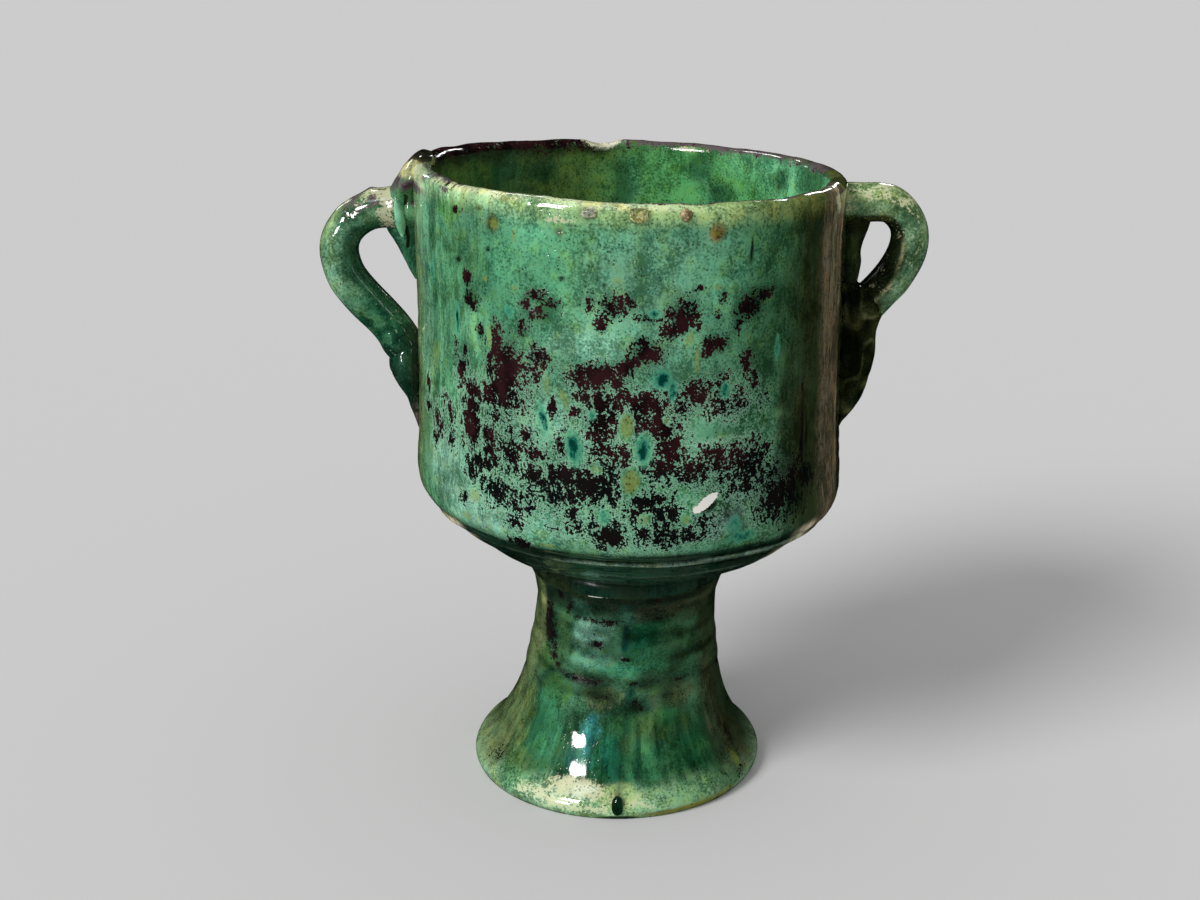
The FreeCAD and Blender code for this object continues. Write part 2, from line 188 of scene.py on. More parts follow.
# On the wall: manganese patches, turquoise pools, olive spots, dark spots, and a flake of bare clay with a
# painted shadow at its lower edge
BROWN_PATCHES = (
    (0.6, -45.5, 263, 3, 5), (0.7, -44, 254, 5, 5), (0.7, -27, 256, 2.5, 4), (0.7, -24, 260, 6, 3),
    (0.5, -20, 257, 4, 3), (0.6, -24, 252, 7, 3), (0.6, -28, 245, 3.5, 4), (0.6, -10.5, 258, 2, 4),
    (0.8, -5, 257, 6, 5), (0.8, -8, 250, 3, 4), (0.7, -1, 259, 2, 4, 25), (0.6, 3, 252, 6, 2),
    (1.1, 12, 252, 6, 7), (0.8, 8.5, 246, 4, 4), (0.4, 16, 264, 3, 1.5), (0.4, 22, 260, 2, 4),
    (0.4, 20.5, 252, 2, 3), (1.1, 29, 255, 6, 5, 35), (0.9, 33.5, 259, 5, 2.5, 15), (0.6, 26, 247, 2, 4),
    (0.7, 2, 242, 4, 3), (1.0, 3, 237, 7, 5), (1.0, -2, 231, 7, 4, 30), (1.2, -10, 227, 9, 5.5),
    (0.8, -4, 225, 5, 3), (0.9, 20, 240, 7, 3.5), (0.6, 17.5, 236, 3, 3), (0.45, 29, 231, 4, 7),
    (0.9, -24, 232, 5, 6), (0.7, -24, 225, 3.5, 4), (1.0, -36.5, 236, 5, 9), (1.2, -33, 226, 9, 11),
    (1.0, -34, 215, 10, 7), (0.6, -41, 241, 3, 4), (0.7, -47, 231, 2, 4), (0.6, -48, 222, 5, 8),
    (0.5, -44, 214, 6, 6), (0.5, -51, 229, 1.5, 6), (0.6, -20, 229, 1.5, 3), (0.6, -13, 218, 5, 3),
    (0.9, -8, 215, 6, 6), (0.8, -2, 218, 4, 4), (1.0, 3.5, 215, 8, 5), (0.6, 9, 217, 6, 4),
    (0.8, 16, 219, 7, 6), (0.7, 23, 213, 6, 5), (0.7, -20, 213, 2, 5), (0.6, -15, 211, 3, 4),
    (0.6, -66, 208, 2.5, 4), (0.4, -56, 206, 3, 3), (0.7, -66, 197, 4, 2.5), (0.5, -53, 199, 3, 6),
    (0.5, -53, 187, 2.5, 4), (1.0, -44, 204, 3.5, 6), (1.0, -44, 194, 4, 7), (0.7, -38, 195, 6, 3.5),
    (0.3, -36, 205, 5, 5), (0.8, -31.5, 189, 4, 8), (0.7, -41, 181, 6, 4), (0.75, -36, 171, 9, 6),
    (0.6, -27, 199, 3, 4), (0.5, -25, 191, 5, 4), (0.8, -25, 181, 5, 4), (0.9, -17, 181, 7, 5),
    (0.8, -18, 173, 7, 4), (1.3, -9, 179, 8, 6), (0.9, -5.5, 187, 5, 3, 30), (0.6, -18, 195, 2.5, 6),
    (1.1, -8, 206, 4.5, 9), (0.7, -7, 195, 6, 4), (0.6, -2, 192, 3, 5), (1.0, 2, 208, 5, 6),
    (1.0, 7, 205, 5, 6), (1.1, 8.5, 195, 4, 7), (0.9, 8, 186, 8, 4), (0.8, 15, 184, 12, 3.5, 10),
    (0.7, 22, 188, 5, 5), (0.9, 31, 184, 6, 8), (0.7, 29, 175, 4, 5), (0.6, 12, 213, 4, 4),
    (0.8, 39, 166, 9, 9), (0.6, 50, 172, 6, 5), (0.8, 48.5, 190, 0.8, 18), (0.8, 4, 173, 8, 3),
    (0.9, 7, 165, 6, 6), (0.9, 8, 156, 7, 4), (0.6, 3, 158, 3, 3), (0.7, 13.5, 155, 5, 2),
    (1.2, -5.5, 157, 5, 4), (0.7, -9, 162, 3, 3), (0.7, -15, 166, 3, 6), (0.4, -19, 158, 3, 2),
    (0.6, -31, 158, 5, 2.5), (0.8, -30, 147, 5, 2.5), (0.3, -47, 162, 4, 3), (0.4, -62, 184, 3, 4),
    (0.3, 22, 222, 5, 7), (0.3, 27, 215, 6, 7), (0.1, 31, 222, 4, 8), (0.0, 34, 213, 4, 6),
    (0.2, -25, 236, 4, 4), (0.1, -22, 222, 3, 4), (0.2, -44, 178, 5, 8), (0.6, 20, 190, 8, 4),
    (0.6, 27, 190, 6, 4), (0.3, -14, 160, 5, 5), (0.9, -49, 291.5, 3.2, 1.8), (0.25, -60, 192, 6, 8),
    (0.3, -38, 188, 8, 10), (0.35, -22, 176, 10, 8), (0.3, -28, 168, 10, 6), (0.35, 4, 166, 12, 10),
    (0.45, 26, 182, 12, 8), (0.3, 8, 200, 8, 16), (0.3, 36, 176, 8, 12), (0.45, -46, 200, 5, 14),
    (0.35, -6, 212, 14, 10), (0.4, 44, 168, 10, 12), (0.3, 16, 160, 8, 6), (0.8, 112, 236, 14, 11, 20),
    (0.9, 128, 205, 9, 16, -10), (0.7, 150, 251, 12, 6), (0.9, 161, 222, 7, 12, 15),
    (0.9, 178, 190, 16, 8, -12), (0.8, 196, 240, 6, 14), (0.9, 214, 212, 13, 9, 25), (0.7, 231, 178, 8, 12),
    (0.6, 244, 228, 6, 9), (0.5, 120, 182, 14, 8), (0.4, 138, 194, 10, 12), (0.6, 150, 178, 14, 7),
    (0.4, 166, 196, 9, 12), (0.5, 188, 204, 12, 8), (0.6, 198, 186, 8, 12), (0.4, 206, 196, 14, 7),
    (0.5, 218, 190, 9, 10), (0.4, 226, 202, 8, 12), (0.5, 172, 232, 10, 5), (0.4, 206, 228, 8, 5),
    (0.4, 136, 222, 8, 6))
POOLS = (
    (1, -14.5, 195, 3, 6.5, 10), (0.8, -22.5, 207, 2, 6, 15), (1, 2.5, 195.5, 3, 6), (1, 7, 226, 3.5, 3.5),
    (0.9, 9.5, 221, 1.5, 5), (0.5, -10, 210, 2, 2), (0.3, -7, 165, 2.5, 4), (0.6, 5, 254, 2.5, 2),
    (0.2, 38.5, 234, 2, 5), (0.3, -32, 252, 3, 3), (0.7, 23, 219, 2, 3.5), (0.5, 28, 152, 7.5, 3),
    (0.5, 26, 158, 4, 4), (0.8, -50, 243, 1.5, 7), (0.4, -62, 261, 2.5, 6), (0.9, 141, 228, 3, 6),
    (0.8, 170, 205, 3, 5), (0.8, 205, 184, 4, 6))
OLIVE_SPOTS = (
    (1.4, -1.5, 206, 3, 5), (1.2, 14, 244, 1.2, 3.5), (1.3, 15.5, 234, 1.2, 6), (1.4, -0.5, 181, 3.5, 5),
    (0.9, -43, 165, 3.5, 4), (0.9, -17.5, 218, 2, 3), (0.9, -38.5, 240, 1, 6), (0.6, -9, 186, 3, 3),
    (0.8, -47, 154, 4, 3), (1, -21.5, 149, 5, 1.5), (0.7, -21.5, 222, 2, 6), (0.6, -16.5, 214, 2, 5),
    (1, 15.5, 232, 1, 4.5, 10), (0.9, 13, 241, 1, 3.5, 10), (0.7, 2.5, 164, 3, 3.5), (0.7, 13, 163, 2.5, 3),
    (0.7, 8, 208, 2, 2.5), (1, -36, 288, 2.5, 3), (1, -30, 284, 1.5, 3.5), (0.7, -30, 262, 2.5, 2),
    (0.7, -39, 264, 2.5, 2), (0.8, -40.5, 294, 2, 2), (0.8, -33, 299, 3, 1.5), (0.7, 20.5, 264, 2.5, 2),
    (0.8, -38, 237, 1, 6), (0.6, -4, 268, 3.5, 2.5), (0.5, -61, 223, 5.5, 9.5), (0.6, 19.5, 287, 3.5, 3),
    (0.8, 135, 262, 4, 3), (0.8, 188, 231, 3, 6), (0.7, 222, 252, 5, 3))
DARK_SPOTS = (
    (1, 29.5, 278, 1, 7, -5), (0.2, -11.5, 295.5, 7.5, 5), (0.1, 12.4, 295, 5, 4.5), (-0.2, 1, 294, 5, 4),
    (0.6, -40.5, 294, 1.5, 1.5), (0.9, -38, 277, 1.5, 1.5), (1, -48.5, 270, 2, 1.5), (0.6, -8.5, 269, 1, 3),
    (0.6, -7, 266, 1.5, 2), (0.8, -17.5, 268, 2, 1.5), (0.8, 50.5, 193, 1.5, 8.5), (0.5, 13, 283, 1, 3))
FLAKE = (
    (1.0, 18.3, 169.8, 5.6, 2.3, 38), (0.8, 16.0, 167.2, 2.6, 2.0, 10), (0.7, 20.6, 172.4, 2.4, 1.6, 30))
# The painted shadow at the flake's lower edge
FLAKE_SHADE = ((0.8, 19.6, 167.6, 5.0, 2.0, 38),)
# Pale and brown marks and pits on the lip
LIP_CREAM = (
    (0.9, -46, 0, 4, 2), (0.8, -59, -3, 5, 2.5), (0.6, -70, -9, 5, 2), (0.9, -18, -12, 5, 1.2),
    (0.9, 66, -6, 3, 7), (1.0, 160, 6, 10, 1.2), (0.9, 60, 2, 5, 1.5), (1.2, -78, -5, 16, 4))
LIP_RUST = ((1.0, -78, -12, 18, 2.5), (1.0, -60, -1, 14, 3), (0.7, -66, -5, 7, 2.5), (0.6, -54, -6, 4, 2))
LIP_PITS = ((1, -51, 1, 2, 2), (1, -54, -3, 1.5, 2), (0.9, -49, -1, 1.5, 1.5), (0.8, 37, 3, 2, 3))
# Manganese on the pedestal, mostly along its throwing ridges
STEM_BROWN = (
    (1.0, -57, 85, 4, 8), (0.9, -53, 77, 4, 6), (0.6, -48, 69, 3, 4), (0.3, -43, 63, 4, 2, -30),
    (0.4, -44, 101, 2, 3), (0.3, -38, 94, 2, 5, -30), (0.1, -33, 90, 3, 2.5), (0.0, -22, 89.5, 8, 2),
    (0.3, -12, 90, 8, 2.4), (-0.1, -7, 91, 6, 2), (-0.1, 14, 102, 6, 2), (0.0, 19, 91, 5, 2),
    (-0.5, 27, 92, 6, 2), (0.8, -18.5, 78, 4, 2), (-0.6, -20, 84, 8, 5), (-0.7, -22, 72, 5, 3),
    (0.7, 0.5, 71.5, 2.5, 0.8), (-0.4, -50, 60, 8, 2), (0.1, -34, 60, 8, 2, -6), (0.4, -27, 59.5, 7, 2),
    (0.3, -19, 59, 6, 1.8), (0.2, 5, 59.5, 4, 2), (-0.5, 18, 60, 8, 1.6), (-0.4, 34, 59, 10, 1.6, 4),
    (-0.4, 54, 57, 9, 1.8, 4), (-0.8, -12, 52, 12, 5), (-0.7, 33, 50.5, 14, 6), (-0.1, 7.5, 48, 6, 4),
    (-1.0, 46, 76, 12, 10), (-0.3, 66, 22, 5, 9, -20), (-0.4, -64, 13, 7, 5), (-0.4, 58, 8, 5, 4),
    (-0.8, -10, 100, 26, 5), (0.6, 150, 70, 10, 8), (0.5, 200, 52, 14, 6, 15))
STEM_SHADE = (
    (0.4, 5, 59.5, 4, 1.6), (0.5, 8, 48, 6, 3.5), (0.3, 0.5, 71.5, 3, 1.2), (0.3, 0, 10, 3, 7),
    (0.9, 0, 1, 9, 1.4), (-0.2, -3, 100, 34, 5), (-0.1, 30, 101, 40, 6), (-0.2, 48, 84, 9, 26))
# Thick pale glaze and olive along the foot
STEM_CREAM = (
    (2.0, -18, 12.5, 9, 2.6), (1.3, -27, 7, 12, 2.6, -4), (0.8, -38, 6, 6, 2, -6), (0.2, -2, 9, 6, 3),
    (0.6, -12, 5, 10, 2), (-0.2, 10, 8, 6, 2.5))
STEM_OLIVE = (
    (1.2, 34, 2.5, 12, 2), (1.2, 22, 1.5, 10, 1.5), (0.9, 46, 3.5, 8, 2), (0.5, -12, 2, 10, 1.5),
    (0.6, 60, 12, 4, 5))
# Washes are marks with a colour, which comes first
WALL_WASHES = (
    ((62, 118, 82), 0.4, -52, 262, 10, 34), ((28, 84, 56), 0.6, -61, 240, 3, 50),
    ((66, 128, 92), 0.4, -36, 266, 10, 30), ((122, 182, 152), 0.8, -8, 238, 9, 4),
    ((122, 182, 152), 0.5, 7, 246, 6, 3), ((84, 140, 108), 0.4, 14, 276, 24, 12),
    ((136, 184, 160), 0.8, -40, 160, 24, 9, 5), ((126, 170, 146), 0.7, -56, 174, 16, 13),
    ((122, 178, 152), 0.6, -20, 160, 16, 8), ((128, 160, 160), 0.7, 24, 160, 9, 4, 20),
    ((122, 172, 142), 0.8, 22, 197, 16, 1.6, 6), ((122, 172, 142), 0.7, 20, 192, 14, 1.2, 6),
    ((50, 92, 62), 0.6, 30, 215, 14, 22), ((50, 84, 54), 0.6, 38, 250, 12, 34),
    ((44, 60, 46), 0.8, 31, 168, 22, 9, 10), ((48, 80, 60), 0.5, 24, 181, 16, 9, 10),
    ((44, 54, 32), 0.8, 44, 190, 10, 34), ((60, 110, 90), 0.4, 10, 157, 22, 8),
    ((56, 76, 70), 0.6, 24, 158, 14, 6), ((60, 120, 90), 0.3, -24, 172, 12, 7),
    ((96, 150, 80), 0.6, -46, 300, 12, 8), ((90, 150, 70), 0.6, -52, 292, 8, 5),
    ((130, 186, 156), 0.7, -12, 240, 16, 6), ((132, 84, 36), 0.95, 20, 287, 3.5, 4),
    ((60, 34, 20), 0.9, 20.4, 286, 1.4, 1.8), ((86, 84, 42), 0.8, -36.5, 288, 3, 3.5),
    ((60, 60, 34), 0.8, -18, 287.5, 2, 2), ((56, 104, 76), 0.5, 3, 285, 3, 3.5),
    ((62, 70, 30), 0.7, 24, 295, 2, 3), ((116, 180, 148), 0.6, 6, 232, 7, 7),
    ((124, 184, 156), 0.5, -20, 209, 6, 8), ((104, 132, 88), 0.4, -64, 205, 6, 30))
# The grey-olive row at turn 60 is a painted reflection: a grey sheen down the pedestal's right side.
STEM_WASHES = (
    ((104, 150, 132), 0.8, -22, 83, 12, 8), ((92, 150, 124), 0.7, -20, 70, 12, 5),
    ((70, 120, 100), 0.5, -30, 95, 6, 5), ((128, 140, 100), 0.9, -66, 84, 8, 20),
    ((66, 98, 56), 0.5, -42, 78, 5, 14), ((90, 70, 50), 0.4, -58, 84, 5, 9),
    ((24, 92, 62), 0.7, 14, 82, 10, 7), ((16, 80, 56), 0.7, 4, 80, 8, 8),
    ((50, 84, 52), 0.6, 30, 78, 14, 10), ((48, 42, 32), 0.6, 14, 95, 16, 4),
    ((50, 56, 36), 0.6, 40, 94, 16, 6), ((6, 50, 50), 0.9, -1, 83, 2.4, 7),
    ((40, 84, 70), 0.6, -1, 95, 6, 5), ((44, 110, 78), 0.6, 14, 70, 16, 5),
    ((50, 120, 90), 0.6, -4, 65, 14, 3), ((84, 124, 66), 0.6, -56, 64, 10, 6),
    ((66, 116, 62), 0.6, -42, 52, 12, 6), ((100, 116, 76), 0.7, -12, 52, 12, 5),
    ((76, 84, 54), 0.6, 33, 51, 16, 6), ((70, 106, 60), 0.5, 20, 56, 10, 3),
    ((4, 70, 56), 0.7, 4, 52, 3, 6), ((20, 40, 30), 0.6, 8, 48, 8, 4),
    ((42, 106, 72), 0.7, -48, 36, 10, 12), ((56, 118, 84), 0.6, -38, 30, 5, 12),
    ((66, 150, 148), 0.8, -17, 35, 5, 8), ((70, 150, 140), 0.6, -20, 24, 6, 6),
    ((16, 96, 76), 0.7, -6, 24, 7, 9), ((34, 84, 48), 0.6, 1, 42, 8, 6),
    ((74, 104, 58), 0.7, 16, 38, 10, 6), ((84, 124, 76), 0.5, 8, 30, 8, 5),
    ((66, 90, 48), 0.6, 34, 36, 8, 5), ((20, 90, 40), 0.5, 26, 42, 6, 6),
    ((44, 104, 68), 0.6, 12, 24, 10, 8), ((14, 64, 36), 0.8, 47, 31, 8, 6),
    ((28, 84, 44), 0.6, 36, 24, 12, 8), ((14, 64, 36), 0.8, 49, 18, 9, 5),
    ((84, 84, 60), 0.8, 60, 38, 8, 22), ((70, 66, 40), 0.7, 70, 20, 8, 12),
    ((104, 128, 76), 0.7, -62, 30, 8, 16), ((80, 84, 50), 0.6, -66, 16, 8, 8),
    ((96, 130, 74), 0.6, -50, 14, 8, 5), ((100, 160, 110), 0.7, -46, 8, 10, 4),
    ((208, 226, 182), 0.9, -18, 12.5, 10, 3), ((180, 214, 172), 0.8, -26, 7, 14, 4),
    ((152, 200, 150), 0.8, -10, 5, 14, 4), ((170, 190, 118), 0.6, 0, 10, 10, 4),
    ((132, 178, 136), 0.7, 18, 6, 12, 5), ((100, 150, 100), 0.6, 32, 9, 12, 5),
    ((50, 96, 58), 0.7, 50, 9, 10, 5), ((120, 104, 40), 0.8, 30, 2, 20, 1.6))
# The bevel's lines as they are coloured: height, half height, strength, colour
# The pale line at 139.6 is a painted highlight on the turned ridge; the dark lines at 142.6 and 136.8 are
# painted shade in the grooves on either side.
BEVEL_LINES = (
    (145.5, 1.0, 0.6, (12, 24, 18)), (142.6, 0.7, 0.8, (10, 20, 15)), (139.6, 0.8, 0.8, (150, 178, 158)),
    (136.8, 0.8, 0.7, (12, 24, 18)), (129.0, 0.6, 0.5, (96, 128, 108)), (121.0, 0.7, 0.5, (14, 28, 22)))


def glaze_colour(red, green, blue):
    """A colour given in screen values from 0 to 255, as Blender's linear numbers."""
    values = np.array([red, green, blue]) / 255
    return np.where(values <= 0.04045, values / 12.92, ((values + 0.055) / 1.055) ** 2.4)


MINT = glaze_colour(104, 160, 128)
WALL = glaze_colour(82, 138, 98)
AQUA = glaze_colour(80, 150, 114)
PALE = glaze_colour(152, 204, 174)
LEAF = glaze_colour(66, 120, 72)
GREEN = glaze_colour(36, 100, 62)
DEEP = glaze_colour(12, 52, 36)
MOSS = glaze_colour(70, 86, 46)
SHADOW_OLIVE = glaze_colour(44, 54, 26)
LIME = glaze_colour(150, 176, 118)
OLIVE = glaze_colour(128, 140, 62)
CREAM = glaze_colour(222, 218, 180)
MAROON = glaze_colour(40, 14, 20)
PURPLE = glaze_colour(100, 88, 92)
BLACK_GREEN = glaze_colour(16, 22, 12)
TURQUOISE = glaze_colour(2, 88, 74)
CLAY = glaze_colour(238, 235, 228)


def lumps(points, cell, seed):
    """Smooth seeded noise from -1 to 1 at points in millimetres, with lumps of one size."""
    table = np.random.RandomState(seed).uniform(-1, 1, 4096)
    spot = points / cell
    base = np.floor(spot).astype(np.int64)
    part = spot - base
    ease = part * part * (3 - 2 * part)
    total = np.zeros(points.shape[:-1])
    for corner in range(8):
        step = np.array([corner & 1, corner >> 1 & 1, corner >> 2 & 1])
        key = (base + step) * np.array([73856093, 19349663, 83492791])
        key = (key[..., 0] ^ key[..., 1] ^ key[..., 2]) % 4096
        total += table[key] * np.prod(np.where(step == 1, ease, 1 - ease), axis=-1)
    return total


def layered(points, seed, *layers):
    """Noise of several sizes added up: each layer is its height and the size of its lumps."""
    return sum(height * lumps(points, cell, seed + number) for number, (height, cell) in enumerate(layers))


def soft(value, low, high):
    """0 below low, 1 above high, with a smooth rise between."""
    part = np.clip((value - low) / (high - low), 0, 1)
    return part * part * (3 - 2 * part)


def bell(value, middle, half):
    """1 at the middle, falling to nothing on both sides."""
    return np.exp(-((value - middle) / half) ** 2)


def hump(value, middle, half):
    """A field that falls from 0 at the middle to -1 at the half size and on."""
    return -((value - middle) / half) ** 2


def centred(turn):
    """A turn taken round to lie from -180 to 180."""
    return (turn + 180) % 360 - 180


def blend(first, second, share):
    """Two colours, or arrays of colours, mixed by a share for each point."""
    share = np.asarray(share)[..., None]
    return first * (1 - share) + second * share


def coat(tint, colour, share):
    """A tint with a colour of screen values laid over it, by a share for each point."""
    return blend(tint, glaze_colour(*colour), share)


def between(first, second, share):
    """Two colours of screen values mixed by a share for each point."""
    return blend(glaze_colour(*first), glaze_colour(*second), share)


def round_axis(turn, radius, z):
    """Points about an upright axis, by turn in degrees, radius and height."""
    angle = np.radians(turn)
    return np.stack(np.broadcast_arrays(radius * np.sin(angle), -radius * np.cos(angle), z), axis=-1)


def run_length(points):
    """Length along a line of points, from its start to each of them."""
    return np.concatenate([[0], np.cumsum(np.linalg.norm(np.diff(points, axis=0), axis=1))])


def smooth(knots, count):
    """Evenly spaced points on a smooth curve through the knots."""
    knots = np.array(knots, float)
    at = run_length(knots[:, :2])
    gaps = np.diff(at)
    system = np.eye(len(knots))
    right = np.zeros_like(knots)
    for i in range(1, len(knots) - 1):
        system[i, i - 1:i + 2] = gaps[i - 1], 2 * (gaps[i - 1] + gaps[i]), gaps[i]
        right[i] = 6 * ((knots[i + 1] - knots[i]) / gaps[i] - (knots[i] - knots[i - 1]) / gaps[i - 1])
    bend = np.linalg.solve(system, right)
    fine = np.linspace(0, at[-1], 20 * count)
    i = np.clip(np.searchsorted(at, fine) - 1, 0, len(knots) - 2)
    span = gaps[i][:, None]
    a = (at[i + 1] - fine)[:, None] / span
    b = 1 - a
    curve = a * knots[i] + b * knots[i + 1]
    curve += ((a ** 3 - a) * bend[i] + (b ** 3 - b) * bend[i + 1]) * span ** 2 / 6
    along = run_length(curve[:, :2])
    even = np.linspace(0, along[-1], count)
    return np.stack([np.interp(even, along, curve[:, k]) for k in range(curve.shape[1])], axis=1)


def arc_points(centre, radius_x, radius_z, start, end, count):
    """Points on an arc of an ellipse in the profile's plane, by angles in degrees."""
    angle = np.radians(np.linspace(start, end, count))
    return np.stack([centre[0] + radius_x * np.cos(angle), centre[1] + radius_z * np.sin(angle)], axis=1)


def joined(*runs):
    """Runs of profile points one after another, without doubled points."""
    return np.concatenate([runs[0]] + [run[1:] for run in runs[1:]])


def profile_normals(profile):
    """Outward normals of a profile that runs up its outside."""
    along = np.gradient(profile, axis=0)
    normals = np.stack([along[:, 1], -along[:, 0]], axis=1)
    return normals / np.maximum(np.linalg.norm(normals, axis=1), 1e-9)[:, None]


def make_bowl_profile():
    """Radius and height from the middle of the base, up the wall, over the lip, to the floor's middle."""
    side = [(BASE_RADIUS + out * (BELLY_RADIUS - BASE_RADIUS), up * BEVEL_HEIGHT)
            for out, up in BEVEL_SHARES]
    side += [(WALL_RADIUS + out * BELLY_SWELL, BEVEL_HEIGHT + up * TAPER_HEIGHT)
             for out, up in TAPER_SHARES]
    corner = (INNER_RADIUS - FLOOR_ROUND, FLOOR_THICKNESS + FLOOR_ROUND)
    return joined(
        np.linspace((0, 0), (BASE_RADIUS, 0), 10),
        smooth(side, 92),
        np.linspace(side[-1], (WALL_RADIUS, LIP_FOOT), 46),
        arc_points((LIP_MIDDLE, LIP_FOOT), WALL_THICKNESS / 2, LIP_HEIGHT, 0, 180, 15),
        np.linspace((INNER_RADIUS, LIP_FOOT), (INNER_RADIUS, corner[1]), 64),
        arc_points(corner, FLOOR_ROUND, FLOOR_ROUND, 0, -90, 26),
        np.linspace((corner[0], FLOOR_THICKNESS), (0, FLOOR_THICKNESS), 16))


BOWL_PROFILE = make_bowl_profile()
BOWL_NORMALS = profile_normals(BOWL_PROFILE)
LIP_ROW = int(np.argmax(BOWL_PROFILE[:, 1]))
# Length along the profile from the top of the lip; down the outside is negative
BOWL_LENGTH = run_length(BOWL_PROFILE)
BOWL_LENGTH -= BOWL_LENGTH[LIP_ROW]


def bowl_relief(spot, turn, along):
    """How far the thrown bowl stands out from its even profile: wear, rings, lip and bevel lines."""
    z = spot[..., 2]
    worn = layered(spot, 3, (0.16, 6), (0.3, 15), (0.5, 42)) - 0.6
    ring_height = 0.2 * (0.5 + 0.5 * lumps(spot, 55, 6))
    rings = ring_height * np.sin(2 * math.pi * (z / RING_PITCH + turn / 360))
    lip = soft(z, BOWL_HEIGHT - 12, BOWL_HEIGHT - 2)
    lip_lumps = lip * layered(spot, 7, (0.3, 9), (0.12, 4))
    lines = sum(out * bell(z, height, half) for height, half, out in BEVEL_RELIEF)
    return worn + rings + lip_lumps + lines * soft(-along, 0, 5)


def chip_scooped(z, turn, radius, spot):
    """Heights with the old chip in the far rim scooped out by a ball."""
    away = np.radians(centred(turn - CHIP_TURN)) * LIP_MIDDLE
    ball = (CHIP_WIDTH ** 2 / 4 + CHIP_DEPTH ** 2) / (2 * CHIP_DEPTH)
    deep = away ** 2 + (radius - LIP_MIDDLE) ** 2
    scoop = BOWL_HEIGHT - CHIP_DEPTH + ball - np.sqrt(np.maximum(ball ** 2 - deep, 0))
    return np.where(deep < ball ** 2, np.minimum(z, scoop + 0.5 * lumps(spot, 3, 9)), z)


def bowl_points(turn, along):
    """Points on the thrown bowl: turn in degrees, and length along the profile."""
    radius, z = (np.interp(along, BOWL_LENGTH, BOWL_PROFILE[:, k]) for k in (0, 1))
    out, up = (np.interp(along, BOWL_LENGTH, BOWL_NORMALS[:, k]) for k in (0, 1))
    spot = round_axis(turn, radius, z)
    # The middles of base and floor stay flat
    push = soft(radius, 10, 40) * bowl_relief(spot, turn, along)
    waves = np.interp(centred(turn), *np.array(RIM_WAVES).T) * soft(z, BOWL_HEIGHT - 30, BOWL_HEIGHT)
    radius = radius + out * push
    z = chip_scooped(z + up * push + waves, turn, radius, spot)
    points = round_axis(turn, radius, BOWL_Z + z)
    points[..., 2] -= RIM_SLOPE * points[..., 0]
    points[..., 0] += BOWL_X
    return points


def spans(turn, z, radius, mark_turn, mark_z, half_wide, half_high, tilt=0):
    """How far each point lies from the middle of a mark, as a share of the mark's half size."""
    a = np.radians(centred(turn - mark_turn)) * radius
    b = z - mark_z
    lean = math.radians(tilt)
    return np.hypot((a * math.cos(lean) + b * math.sin(lean)) / half_wide,
                    (b * math.cos(lean) - a * math.sin(lean)) / half_high)


def marks(turn, z, table, radius=WALL_RADIUS):
    """How deep each point lies in the marks of a table: over 0 inside one, under 0 outside."""
    field = np.full(np.shape(turn), -4.0)
    for strength, *place in table:
        field = np.maximum(field, strength - spans(turn, z, radius, *place) ** 2)
    return field


def patches(turn, z, table, fall, radius=WALL_RADIUS):
    """Like marks, but thinning out slowly past the patches' edges, so that noise makes them lace."""
    field = np.full(np.shape(turn), -7.0)
    for strength, *place in table:
        far = np.maximum(spans(turn, z, radius, *place) - 0.35, 0)
        field = np.maximum(field, 1.3 * strength + 0.3 - fall * far)
    return field


def washes(tint, turn, z, table, radius=WALL_RADIUS):
    """A tint with the washes of a table brushed over it."""
    spot = round_axis(turn, radius, 0.6 * z)
    brushed = layered(spot, 27, (0.5, 4.5), (0.5, 2.4))
    for colour, strength, *place in table:
        inside = 1 - spans(turn, z, radius, *place) ** 2 + brushed
        tint = coat(tint, colour, strength * soft(inside, -1.0, 0.8))
    return tint


def plain_paint(points, tint, **levels):
    """The values that the glaze reads from a mesh: none of each kind of mark unless given."""
    paint = {"streak": 0.2, "halo": 0.0, "burnt": 0.0}
    for title in ("brown", "cream", "rust", "pool", "olive", "shade", "flake"):
        paint[title] = -7.0
    paint.update(levels)
    paint = {title: np.broadcast_to(values, points.shape[:2]) for title, values in paint.items()}
    return {"wrap": points, "tint": tint, **paint}


def grid_faces(index, closed_rows):
    """Four-cornered faces between the rings of a grid of point numbers."""
    following = np.roll(index, -1, axis=1)
    last = len(index) if closed_rows else len(index) - 1
    upper = np.roll(index, -1, axis=0)[:last]
    upper_following = np.roll(following, -1, axis=0)[:last]
    return np.stack([index[:last], following[:last], upper_following, upper], axis=-1).reshape(-1, 4)


def cap_faces(ring, middle):
    """Three-cornered faces from a ring of point numbers to its middle point."""
    return [[first, second, middle] for first, second in zip(ring.tolist(), np.roll(ring, -1).tolist())]


def points_inward(vertices, quads):
    """Whether a closed mesh of these faces has its inside out."""
    corners = vertices[quads] - vertices.mean(axis=0)
    return sum((np.cross(corners[:, 0], corners[:, k]) * corners[:, k + 1]).sum() for k in (1, 2)) < 0


def write_paint(mesh, paint):
    """Puts painted values on a mesh's points; the middles of its caps repeat the last value."""
    kinds = {"wrap": ("FLOAT_VECTOR", "vector", 3), "tint": ("FLOAT_COLOR", "color", 4)}
    for title, values in paint.items():
        kind, field, width = kinds.get(title, ("FLOAT", "value", 1))
        values = values.reshape(-1, min(width, 3))
        full = np.ones((len(mesh.vertices), width))
        full[:len(values), :3] = values
        full[len(values):, :3] = values[-1]
        layers = mesh.color_attributes if title == "tint" else mesh.attributes
        layers.new(title, kind, "POINT").data.foreach_set(field, full.ravel())


